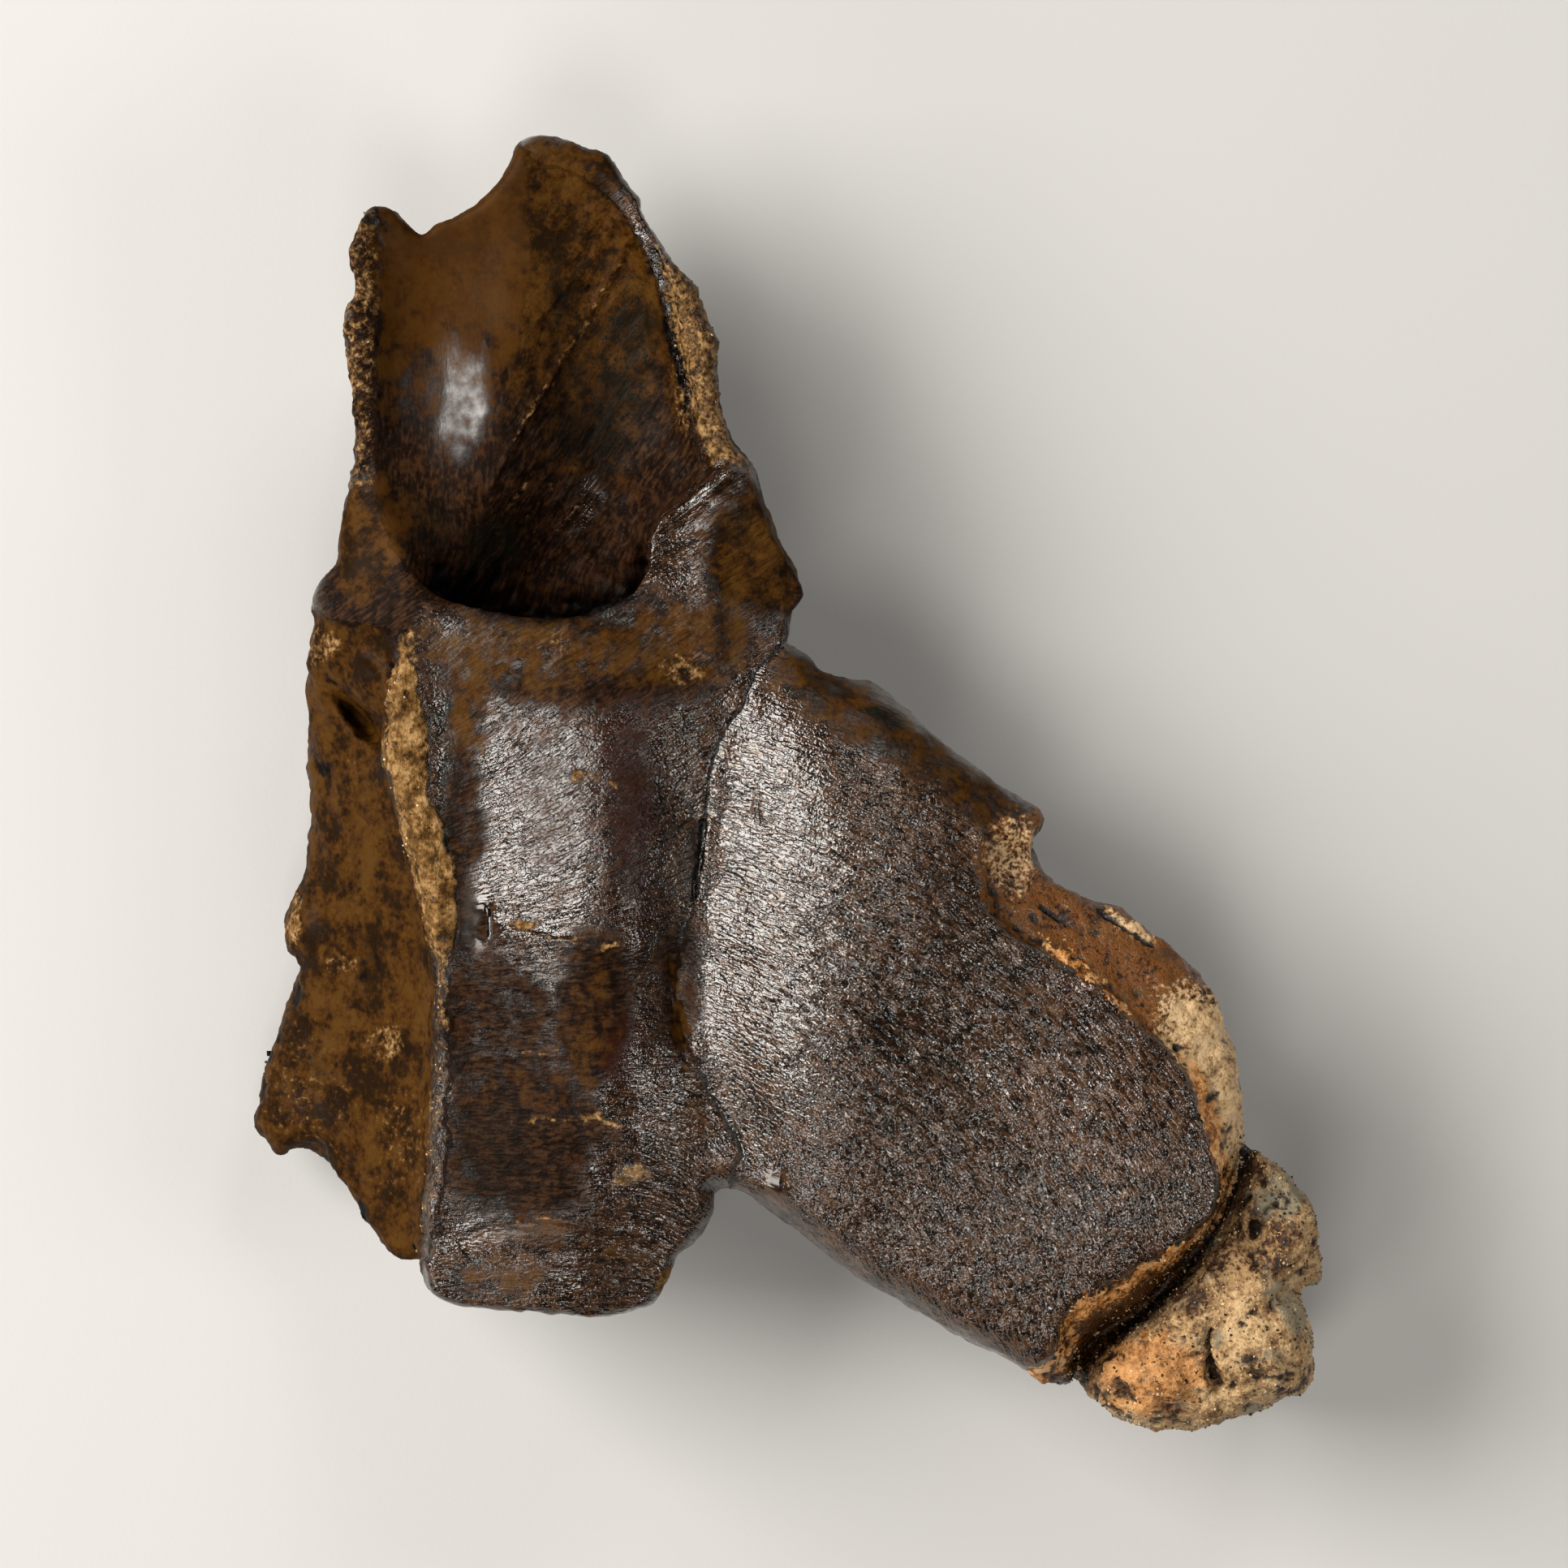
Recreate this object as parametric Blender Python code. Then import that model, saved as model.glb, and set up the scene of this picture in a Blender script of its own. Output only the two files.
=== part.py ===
"""Fossil vertebra process: a broken piece of the neural arch of a duck-billed dinosaur.

One solid bone, lying on the broken bases of its two pedicels and on the stump of its facet.
Run with: blender --background --python part.py

The plan of the bone is drawn on a sheet in millimetres, x to the right and y down the sheet
from its top left corner. Heights are millimetres above the surface that the bone lies on.
The part's frame is in metres, +Z up, with its origin under the middle of the bone.
"""

import bpy
import numpy as np
from mathutils import Vector
from mathutils.geometry import delaunay_2d_cdt

MM = 0.001

# Driving dimensions, in millimetres
SHEET_CENTRE = (96.8, 96.6)
CELL = 1.0
SKIN_VOXEL = 0.75
MOST_TRIANGLES = 7800
LEAST_EDGE = 2.4
EDGE_GAIN = 0.45
UNDER_ROLL = 6.0
EDGE_ROWS = (0.3, 0.9, 1.8, 2.8)
FOOT_HEIGHT = 0.0
FOOT_FLARE = 4.0

# Outline of the bone seen from above, clockwise from the tip
OUTLINE = (
    (64.2, 17.2), (66.6, 16.3), (69.9, 17.0), (72.4, 18.0), (74.9, 18.6), (77.2, 22.1), (78.8, 24.0),
    (79.5, 26.3), (81.1, 28.8), (82.8, 31.7), (84.8, 34.1), (86.3, 36.6), (87.7, 39.5), (88.3, 42.0),
    (88.4, 46.2), (88.8, 50.3), (89.8, 53.6), (91.9, 56.5), (93.3, 59.0), (94.4, 62.3), (96.0, 66.5),
    (97.7, 69.8), (99.2, 72.7), (99.1, 73.9), (97.7, 75.6), (97.3, 77.4), (97.0, 79.3), (98.3, 80.0),
    (100.0, 81.2), (101.2, 82.5), (103.7, 83.6), (107.0, 83.9), (109.1, 85.2), (111.2, 87.0),
    (114.1, 89.5), (117.0, 92.2), (119.9, 94.3), (122.8, 96.3), (125.7, 98.2), (127.7, 99.4),
    (128.5, 100.9), (128.2, 102.2), (127.4, 103.5), (127.7, 105.2), (128.8, 107.3), (130.2, 109.0),
    (132.3, 110.2), (134.8, 111.4), (138.1, 112.2), (141.0, 114.0), (143.6, 116.2), (146.8, 119.1),
    (149.3, 122.0), (150.7, 124.9), (151.3, 127.4), (152.5, 129.8), (152.9, 133.0), (153.2, 138.4),
    (153.9, 141.2), (156.1, 142.7), (158.6, 144.9), (160.4, 146.9), (161.9, 148.7), (162.7, 151.0),
    (163.1, 154.0), (163.6, 157.8), (162.9, 158.8), (161.0, 159.2), (161.1, 161.6), (161.8, 165.0),
    (162.5, 169.5), (161.7, 171.8), (159.8, 172.5), (157.8, 173.4), (155.0, 174.6), (151.6, 175.5),
    (148.8, 176.7), (145.8, 176.9), (142.2, 176.4), (138.9, 175.5), (136.2, 173.8), (134.2, 172.2),
    (133.0, 171.3), (131.4, 171.0), (129.1, 170.8), (127.0, 169.4), (124.6, 167.6), (121.8, 166.4),
    (117.5, 164.3), (113.2, 161.8), (109.9, 159.9), (105.8, 157.6), (102.4, 155.1), (99.5, 152.6),
    (97.0, 150.6), (94.2, 148.6), (91.2, 146.8), (89.4, 146.5), (88.2, 147.2), (87.8, 149.6),
    (86.4, 152.2), (84.8, 153.8), (83.4, 155.0), (82.6, 157.6), (81.0, 160.2), (79.3, 161.4),
    (76.5, 161.9), (73.4, 162.2), (69.5, 162.0), (65.3, 161.7), (61.2, 161.5), (57.0, 161.2),
    (54.5, 160.4), (52.9, 159.2), (52.0, 157.2), (51.3, 155.6), (49.1, 155.8), (47.2, 154.9),
    (45.4, 152.6), (43.9, 151.1), (43.0, 148.6), (41.6, 146.8), (39.6, 144.8), (37.6, 143.0),
    (35.2, 142.4), (33.2, 143.2), (31.6, 141.4), (30.0, 139.8), (30.4, 136.8), (31.0, 132.6),
    (32.6, 128.4), (34.8, 123.2), (36.2, 119.6), (35.7, 118.2), (34.4, 117.2), (34.2, 115.0),
    (34.6, 112.2), (35.8, 108.8), (36.8, 105.0), (37.3, 98.4), (37.0, 92.0), (37.2, 85.0),
    (37.7, 79.6), (38.1, 76.6), (38.0, 73.6), (38.9, 71.4), (41.0, 69.0), (41.7, 65.0), (42.4, 61.4),
    (43.5, 57.6), (43.8, 54.4), (43.3, 50.6), (43.3, 46.4), (42.9, 41.6), (42.9, 37.6), (43.8, 35.6),
    (43.7, 31.4), (44.3, 27.4), (45.4, 25.7), (47.0, 25.2), (48.6, 25.7), (49.9, 27.4), (51.9, 28.7),
    (53.8, 27.2), (56.6, 26.0), (59.4, 24.4), (61.3, 22.1), (62.7, 20.0),
)

# Curves between the areas of the upper side, as closed rings that may run outside the outline
CREST_RING = (
    (43.0, 77.0), (48.0, 78.0), (48.9, 82.0), (47.9, 88.0), (47.4, 94.0), (49.0, 99.0), (50.2, 104.0),
    (51.8, 109.0), (53.0, 115.0), (53.8, 122.0), (53.4, 129.0), (53.2, 136.0), (53.0, 143.0),
    (52.2, 150.0), (52.0, 156.0), (50.0, 170.0), (20.0, 170.0), (20.0, 77.0),
)
CUP_RING = (
    (46.9, 20.0), (47.2, 30.0), (46.8, 40.0), (46.4, 50.0), (46.6, 60.0), (49.0, 68.0), (52.0, 71.4),
    (55.6, 73.4), (59.8, 74.6), (63.8, 75.4), (68.0, 75.8), (72.0, 75.4), (75.4, 74.3), (78.2, 72.4),
    (79.6, 69.6), (80.0, 66.4), (82.0, 63.2), (85.4, 60.6), (87.0, 57.4), (85.4, 53.0), (84.4, 48.0),
    (82.8, 42.0), (81.4, 36.0), (79.6, 31.0), (76.0, 25.0), (71.0, 21.2), (66.0, 19.6), (60.0, 14.0),
)
BREAK_RING = (
    (134.0, 98.0), (127.0, 100.6), (122.8, 101.0), (120.9, 103.4), (120.3, 106.6), (120.8, 109.8),
    (122.4, 112.8), (125.6, 115.6), (129.8, 117.9), (133.6, 120.2), (137.2, 123.6), (141.2, 126.8),
    (144.6, 130.0), (146.8, 134.2), (148.2, 138.4), (149.4, 142.2), (150.6, 145.8), (149.8, 149.4),
    (147.2, 152.0), (143.4, 154.2), (139.4, 156.4), (135.4, 158.8), (131.8, 161.2), (130.8, 164.4),
    (130.0, 167.0), (129.2, 174.0), (180.0, 190.0), (180.0, 98.0),
)
FACET_RING = (
    (155.4, 140.0), (153.4, 144.4), (151.4, 149.4), (148.4, 154.6), (145.0, 158.8), (141.4, 162.4),
    (137.6, 165.4), (135.2, 168.4), (133.6, 173.6), (140.0, 190.0), (180.0, 190.0), (180.0, 140.0),
)
GROOVE = (
    (154.2, 141.6), (152.4, 146.0), (150.2, 150.6), (147.2, 155.4), (144.0, 159.4), (140.2, 162.9),
    (136.4, 165.6), (134.2, 168.6), (133.2, 172.4),
)
VALLEY = (
    (96.6, 79.4), (93.6, 82.4), (91.8, 86.6), (89.0, 91.0), (87.6, 95.6), (87.0, 100.4), (86.2, 105.6),
    (85.8, 111.0), (84.2, 116.4), (83.2, 121.4), (84.0, 126.4), (86.0, 131.6), (88.6, 136.6),
    (91.6, 141.6),
)
FOLD = ((77.0, 68.6), (79.4, 65.2), (82.4, 62.4), (85.8, 60.2), (89.8, 58.4))
CREST = (
    (50.0, 78.0), (50.2, 86.0), (49.9, 93.0), (51.2, 100.0), (53.2, 106.0), (54.4, 112.0),
    (55.0, 118.0), (55.0, 124.0), (54.8, 132.0), (54.4, 140.0), (53.4, 148.0), (52.8, 157.0),
)

# Heights of the upper side at marks on the sheet: x, y, height
CORTEX_MARKS = (
    (50.0, 78, 36.0), (50.2, 86, 36.6), (50.0, 94, 37.0), (52.4, 103, 37.6), (54.6, 112, 37.8),
    (55.2, 122, 37.6), (55.0, 134, 37.0), (54.2, 146, 36.0), (53.2, 156, 34.6),
    (57, 80, 37.4), (57, 92, 37.6), (58.4, 104, 38.2), (59.4, 116, 38.6), (59.4, 130, 38.2),
    (59, 144, 37.4), (59.4, 158, 35.6),
    (64.6, 80, 38.8), (64.6, 92, 40.0), (64.6, 104, 40.6), (64.8, 116, 40.8), (64.8, 130, 40.0),
    (65, 144, 39.2), (65, 158, 37.0), (70, 81, 40.0), (70.4, 92, 42.3), (70.6, 104, 43.2),
    (70.8, 116, 43.2), (70.8, 130, 42.0), (71, 144, 40.4), (70, 157, 37.8), (75, 92, 43.2),
    (75.4, 104, 44.2), (75.6, 116, 43.8), (75.6, 130, 42.2), (76, 144, 40.2), (80, 80, 40.0),
    (80, 92, 42.2), (80.4, 104, 42.6), (80.2, 116, 41.6), (80, 128, 40.6), (81, 142, 39.0),
    (78, 156, 36.4), (93, 82.5, 38.6), (89, 90, 38.4), (87, 100, 38.0), (86, 110, 37.4),
    (84.2, 118, 37.2), (84, 126, 37.2), (87.5, 134, 37.0), (91, 140, 37.0), (86.5, 146.5, 36.4),
    (84, 152, 35.2), (92.5, 96, 39.8), (92, 105, 39.6), (91.5, 115, 39.6), (91.5, 125, 39.6),
    (94.5, 134, 40.4), (98, 86, 39.8), (100, 94, 42.0), (100, 104, 43.0), (100, 116, 43.4),
    (99, 127, 43.2), (102, 138, 43.0), (101, 147, 40.0), (109, 96, 43.0), (111, 107, 45.0),
    (112, 119, 44.8), (113, 131, 43.4), (115, 143, 42.2), (113, 155, 39.4), (119, 104, 43.0),
    (123, 118, 43.0), (126, 130, 42.2), (129, 144, 42.2), (127, 157, 40.6), (133, 124, 42.6),
    (139, 137, 43.2), (141, 147, 42.6), (137, 154, 41.4), (147, 140, 41.8), (149, 146, 41.0),
    (128, 167, 37.6), (106, 86.5, 40.0), (113, 92, 40.6), (120, 98, 40.2), (126, 101, 38.8),
    (93, 147, 36.8), (105, 156, 37.0), (120, 165, 37.2), (80, 74, 37.8), (84, 68.5, 36.6),
    (87, 63.5, 36.6), (89.5, 60, 37.0), (93, 68, 36.6), (97, 73.5, 35.2), (92, 76, 37.6),
)
FLANK_MARKS = (
    (47.5, 80, 32.0), (46.5, 88, 27.5), (46.5, 96, 28.0), (48.5, 104, 29.5), (51, 113, 30.0),
    (52, 123, 29.5), (51.5, 135, 28.5), (50, 147, 27.0), (49.5, 154, 25.5), (42.5, 80, 28.6),
    (41, 88, 23.0), (41.5, 98, 22.0), (43, 108, 22.5), (44.5, 120, 22.8), (44, 132, 21.5),
    (44, 143, 20.8), (38.6, 80, 25.2), (37.8, 90, 19.0), (38, 102, 17.5), (37, 112, 16.5),
    (36.6, 122, 16.5), (34.5, 132, 15.0), (31.5, 139, 13.5), (37, 141, 16.5), (41, 147, 18.5),
    (44, 60, 31.0), (44.5, 68, 30.5), (40.5, 72, 27.5), (47.5, 74, 33.5), (43.6, 64, 29.5),
)
CUP_MARKS = (
    (45.4, 28, 33.5), (45.2, 40, 33.0), (45.0, 50, 32.6), (45.6, 60, 31.8), (48.4, 30, 31.4),
    (48.2, 40, 30.9), (48.0, 50, 30.6), (48.6, 59, 30.2), (51, 66, 30.6), (53, 31, 29.6),
    (53, 41, 29.3), (53.2, 51, 28.8), (54, 61, 28.2), (57.5, 69, 24.6), (57, 30, 30.0),
    (57, 40, 29.8), (57, 51, 30.0), (58.4, 60, 29.2), (60.6, 29, 30.5), (60.6, 39, 30.2),
    (60.4, 51, 31.5), (62, 60, 28.6), (63, 67, 21.0), (64.2, 22, 33.4), (64.8, 30, 31.0),
    (64.8, 39, 30.7), (65, 49, 30.2), (66.4, 59, 24.8), (70, 22, 32.0), (69.6, 30, 29.6),
    (69.6, 40, 27.4), (70, 50, 25.6), (71, 60, 22.4), (70, 68, 18.0), (75, 26, 31.0),
    (76, 32, 28.8), (76.4, 41, 26.4), (77, 50, 24.8), (77, 60, 22.4), (80, 42, 27.0),
    (81.6, 52, 26.2), (78, 65, 21.8), (76, 70, 19.0), (62, 73.4, 19.0), (68.6, 74, 17.0),
    (74, 72.8, 18.0), (83, 59, 28.8), (54, 71.4, 29.4),
)
RIM_MARKS = (
    (66, 17.4, 33.0), (73, 19, 33.6), (78, 25.6, 33.6), (81.6, 31.4, 33.8), (84.8, 38, 34.0),
    (86.4, 45, 34.2), (87, 52, 34.6), (89, 57, 35.6), (45, 28, 33.5), (44.8, 40, 33.0),
    (44.6, 50, 32.6), (44, 60, 31.2), (46, 69, 31.0), (44, 74, 30.6), (39.6, 73, 27.6),
    (48, 76.6, 33.4), (52, 77, 36.0), (60, 77.4, 37.0), (70, 77.8, 37.6), (78, 76, 38.0),
    (84, 68.5, 36.8), (89.5, 60, 37.0), (60, 84, 38.6), (62, 20.5, 33.6), (51, 28.6, 30.6),
    (56, 26.6, 30.8),
)
BREAK_MARKS = (
    (124, 103, 39.6), (127, 101.6, 38.4), (122.2, 107, 38.8), (125, 106, 37.6), (127, 106, 36.8),
    (124.0, 111.6, 38.8), (128, 113.2, 38.6), (130, 110.4, 36.8), (133, 117, 39.2), (136, 114, 37.4),
    (139, 122, 39.4), (141.6, 117, 37.4), (145, 127.4, 39.6), (147, 122, 37.0), (148.4, 133, 39.2),
    (150.6, 127, 36.8), (150.4, 139, 38.6), (152.4, 134, 36.4), (151.8, 144, 37.4), (153, 140, 36.4),
    (150.4, 150, 36.4), (147, 153.6, 36.6), (142, 157.4, 36.4), (137, 160.6, 35.8),
    (133.4, 164.4, 34.8), (132.4, 168.6, 33.2), (131, 170.6, 32.4),
    (150.6, 147.4, 38.8), (147.6, 152.6, 39.4), (143.8, 155.2, 39.4), (139.8, 157.6, 39.0),
    (135.8, 160.0, 38.0), (132.6, 162.6, 36.8), (144.0, 158.4, 34.6), (140.0, 161.8, 34.2),
)
FACET_MARKS = (
    (156, 144, 35.0), (160, 149, 35.2), (162.4, 155, 33.2), (161.4, 158.4, 31.5), (155, 148, 35.0),
    (153.6, 153, 34.6), (157.6, 155, 36.0), (154, 159.6, 36.3), (158, 164, 36.7), (160, 170, 34.5),
    (161.4, 171.6, 31.5), (155, 170, 36.3), (150.4, 166, 35.9), (149.8, 172.6, 34.3),
    (145, 166.8, 35.1), (140.6, 169, 34.7), (143, 174, 32.3), (137.4, 171.6, 32.5), (147, 176, 30.1),
    (152, 175, 30.5), (135.4, 170, 31.5), (156, 174, 30.5), (150.6, 157, 35.2), (146.4, 162, 34.8),
)

# Heights of the underside
UNDER_MARKS = (
    (95, 95, 25), (100, 86, 26), (110, 93, 28), (118, 99, 28), (125, 105, 26), (104, 110, 27),
    (114, 112, 29), (124, 118, 27), (134, 118, 24), (144, 123, 20), (150, 132, 20), (98, 125, 25),
    (108, 128, 27), (118, 132, 26), (128, 138, 22), (138, 142, 17), (148, 144, 16), (97, 146, 27),
    (108, 152, 26), (118, 158, 25), (127, 165, 20), (131, 168, 20), (135, 155, 19), (142, 158, 17),
    (150, 160, 6), (155, 152, 15), (158, 160, 12), (150, 171, 12), (142, 170, 14), (160, 170, 15),
    (138, 173, 18), (64, 88, 20), (64, 105, 23), (64, 120, 23), (64, 135, 23), (64, 150, 24),
    (64, 160, 26), (80, 150, 25), (80, 160, 27), (56, 158, 23), (88, 146, 27), (33, 138, 7),
    (40, 148, 11), (46, 154, 15), (46, 30, 23), (46, 45, 19), (46, 60, 15), (56, 30, 17), (56, 45, 11),
    (56, 62, 7), (66, 20, 23), (68, 30, 17), (70, 45, 9), (70, 62, 5), (82, 30, 21), (84, 45, 15),
    (84, 60, 13), (72, 20, 25), (92, 66, 19), (97, 73, 24), (60, 76, 7), (75, 78, 5), (45, 72, 9),
    (40, 76, 8), (37, 95, 4), (36, 120, 4),
)
LEFT_PEDICEL = (
    (39, 86), (44, 82), (52, 84), (56, 92), (56.5, 106), (56.5, 122), (56, 136), (52, 146), (45, 144),
    (40, 136), (38.5, 122), (39.5, 104),
)
RIGHT_PEDICEL = (
    (74, 88), (82, 84), (90, 88), (94, 98), (94, 112), (92, 124), (90, 134), (84, 140), (77, 138),
    (73, 128), (72, 112), (72, 98),
)
FACET_FOOT = (
    (148.5, 161), (151, 156.5), (154.5, 154), (157.5, 157), (158.5, 164), (157.5, 169.5),
    (153, 171.5), (147, 172), (144, 169.5), (145, 165.5),
)

# How far the upper edge rolls over along the outline: x, y, roll
ROLL_MARKS = (
    (100, 80, 3.5), (113, 88, 4.5), (124, 98, 4.0), (129, 104, 1.5), (150, 120, 2.5), (153, 140, 2.0),
    (161, 150, 2.5), (156, 175, 3.5), (136, 172, 2.5), (126, 168, 4.0), (105, 157, 5.0), (93, 147, 4.0),
    (84, 154, 1.8), (70, 162, 1.6), (53, 160, 1.6), (45, 152, 1.6), (32, 142, 3.0), (36, 120, 3.5),
    (37, 95, 3.5), (40, 72, 3.0), (43, 55, 1.6), (44, 30, 1.2), (52, 28, 1.0), (64, 18, 2.2),
    (77, 22, 2.2), (86, 38, 2.6), (93, 58, 2.4), (99, 73, 1.2), (97, 79, 1.2),
)

# Bumps and pits of the upper side: x, y, reach along, reach across, turn in degrees, height
LUMPS = (
    (45.8, 84.6, 3.6, 2.6, 20, 2.2),
    (43.6, 88.3, 3.4, 0.8, 48, -9.0),
    (39.2, 88.0, 1.6, 1.2, 70, -1.6),
    (35.8, 113.4, 4.0, 1.8, 80, 1.8),
    (83.4, 119.8, 1.9, 0.9, 80, -0.9),
    (83.9, 126.4, 3.4, 0.9, 74, -1.1),
    (86.2, 104.0, 4.6, 0.6, 94, -1.0),
    (112.6, 127.6, 5.2, 2.4, 24, -1.2),
    (119.0, 131.0, 4.4, 3.0, 20, -0.9),
    (105.0, 126.0, 4.0, 1.6, 30, 0.5),
    (84.4, 65.6, 5.4, 1.9, -36, -1.6),
    (37.6, 142.8, 2.0, 1.4, 0, -3.0),
    (51.6, 155.0, 1.0, 0.7, 60, -3.0),
    (149.8, 169.8, 2.6, 0.7, 72, -3.0),
    (155.0, 153.0, 2.6, 1.8, 40, -1.8),
    (161.4, 158.8, 3.0, 1.0, -20, -1.6),
    (147.4, 162.6, 2.4, 1.4, 20, 1.0),
    (136.0, 167.4, 1.8, 1.0, 40, 1.0),
    (132.8, 166.8, 2.6, 1.6, -60, -1.6),
    (88.2, 146.6, 1.2, 0.8, 30, -4.0),
    (66.0, 152.0, 9.0, 1.4, -14, 0.4),
    (70.0, 139.0, 7.0, 1.0, -4, 0.4),
    (69.0, 116.2, 7.0, 0.8, 8, 0.45),
)


def flowing(points, step, closed):
    """A smooth curve through hand-set points, as points about one step apart."""
    points = np.array(points, float)
    count = len(points)
    spans = range(count if closed else count - 1)
    found = []
    for i in spans:
        if closed:
            a, b, c, d = (points[(i + k) % count] for k in (-1, 0, 1, 2))
        else:
            a, b, c, d = (points[min(max(i + k, 0), count - 1)] for k in (-1, 0, 1, 2))
        parts = max(1, int(round(np.linalg.norm(c - b) / step)))
        t = np.arange(parts)[:, None] / parts
        found.append(
            0.5 * (2 * b + (c - a) * t + (2 * a - 5 * b + 4 * c - d) * t**2
                   + (3 * b - a - 3 * c + d) * t**3)
        )
    if not closed:
        found.append(points[-1:])
    return np.concatenate(found)


def distance_to(x, y, curve, closed):
    """How far each point of the sheet is from a curve."""
    ends = np.roll(curve, -1, axis=0) if closed else curve[1:]
    starts = curve if closed else curve[:-1]
    nearest = np.full(x.shape, np.inf)
    for (ax, ay), (bx, by) in zip(starts, ends):
        dx, dy = bx - ax, by - ay
        t = np.clip(((x - ax) * dx + (y - ay) * dy) / max(dx * dx + dy * dy, 1e-9), 0, 1)
        nearest = np.minimum(nearest, (x - ax - t * dx) ** 2 + (y - ay - t * dy) ** 2)
    return np.sqrt(nearest)


def depth_inside(x, y, ring):
    """How far inside a closed curve each point is, and below zero outside it."""
    inside = np.zeros(x.shape, bool)
    for (ax, ay), (bx, by) in zip(ring, np.roll(ring, -1, axis=0)):
        if ay != by:
            crosses = (ay > y) != (by > y)
            inside ^= crosses & (x < (bx - ax) * (y - ay) / (by - ay) + ax)
    return np.where(inside, 1, -1) * distance_to(x, y, ring, closed=True)


def ease(t):
    """A smooth step from 0 to 1."""
    t = np.clip(t, 0, 1)
    return t * t * (3 - 2 * t)


def plate(marks, x, y):
    """Height of a thin bent plate that passes through every mark."""
    marks = np.array(marks, float)

    def bend(distance):
        return distance**2 * np.log(distance + 1e-9)

    count = len(marks)
    pairs = np.hypot(marks[:, None, 0] - marks[None, :, 0], marks[:, None, 1] - marks[None, :, 1])
    flat = np.column_stack([np.ones(count), marks[:, :2]])
    system = np.zeros((count + 3, count + 3))
    system[:count, :count] = bend(pairs)
    system[:count, count:] = flat
    system[count:, :count] = flat.T
    weights = np.linalg.solve(system, np.append(marks[:, 2], [0, 0, 0]))
    height = weights[count] + weights[count + 1] * x + weights[count + 2] * y
    for (mx, my, _), weight in zip(marks, weights):
        height = height + weight * bend(np.hypot(x - mx, y - my))
    return height


def grain(x, y, size, seed):
    """Smooth seeded noise from -1 to 1 with lumps of about one size."""
    def at(ix, iy):
        n = ix * 374761393 + iy * 668265263 + seed * 982451653
        n = (n ^ (n >> 13)) * 1274126177
        return ((n ^ (n >> 16)) & 0xFFFF) / 32767.5 - 1

    u, v = x / size, y / size
    i, j = np.floor(u).astype(np.int64), np.floor(v).astype(np.int64)
    s, t = ease(u - i), ease(v - j)
    low = at(i, j) * (1 - s) + at(i + 1, j) * s
    high = at(i, j + 1) * (1 - s) + at(i + 1, j + 1) * s
    return low * (1 - t) + high * t


def lumps_of(x, y):
    """The bumps and pits of the upper side, added up."""
    total = np.zeros(x.shape)
    for cx, cy, along, across, turn, height in LUMPS:
        c, s = np.cos(np.radians(turn)), np.sin(np.radians(turn))
        u, v = ((x - cx) * c + (y - cy) * s) / along, ((y - cy) * c - (x - cx) * s) / across
        total += height * np.exp(-(u * u + v * v))
    return total


def ring_of(points):
    return flowing(points, 2.0, closed=True)


def upper_side(x, y, depth):
    """Height of the upper side. depth is how far in from the outline each point is."""
    height = plate(CORTEX_MARKS, x, y)
    rim = plate(RIM_MARKS, x, y)
    cup_depth = depth_inside(x, y, ring_of(CUP_RING))
    crest_depth = depth_inside(x, y, ring_of(CREST_RING))
    break_depth = depth_inside(x, y, ring_of(BREAK_RING))
    facet_depth = depth_inside(x, y, ring_of(FACET_RING))
    cup_end = 77.5 + 0.35 * np.maximum(x - 70, 0) + 3.0 * ease((54 - x) / 6)
    above_cup = ease((cup_end - y) / 3.0) * ease((90.5 - x) / 3.0)
    height = height + (rim - height) * above_cup
    height = height + (plate(FLANK_MARKS, x, y) - height) * ease(0.5 + crest_depth / 2.4)
    lip = 0.4 + 2.2 * np.maximum(ease((66 - y) / 8), ease((58 - x) / 5))
    height = height + (plate(CUP_MARKS, x, y) - height) * ease(0.5 + cup_depth / (2 * lip))
    broken = plate(BREAK_MARKS, x, y) + 0.45 * grain(x, y, 3.2, 5) + 0.3 * grain(x, y, 1.7, 6)
    height = height + (broken - height) * ease(0.5 + break_depth / 1.8)
    facet = plate(FACET_MARKS, x, y) + 0.9 * grain(x, y, 4.2, 7) + 0.5 * grain(x, y, 2.1, 8)
    height = height + (facet - height) * ease(0.5 + facet_depth / 2.2)
    groove = distance_to(x, y, flowing(GROOVE, 2.0, closed=False), closed=False)
    height = height - 9.0 * np.exp(-((groove / 1.5) ** 2)) * ease((break_depth + 1) / 1.5)
    fold = distance_to(x, y, flowing(FOLD, 1.0, closed=False), closed=False)
    height = height + 1.8 * np.exp(-((fold / 1.2) ** 2))
    crest = distance_to(x, y, flowing(CREST, 2.0, closed=False), closed=False)
    height = height + 0.9 * np.exp(-((crest / 2.5) ** 2))
    crack = distance_to(x, y, flowing(VALLEY, 2.0, closed=False), closed=False)
    height = height - 1.1 * np.exp(-((crack / 0.7) ** 2))
    height = height + lumps_of(x, y)
    roll = np.maximum(plate(ROLL_MARKS, x, y), 0.6)
    over = 1 - np.clip(depth / roll, 0, 1)
    return height - roll * (1 - np.sqrt(1 - over * over))


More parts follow.
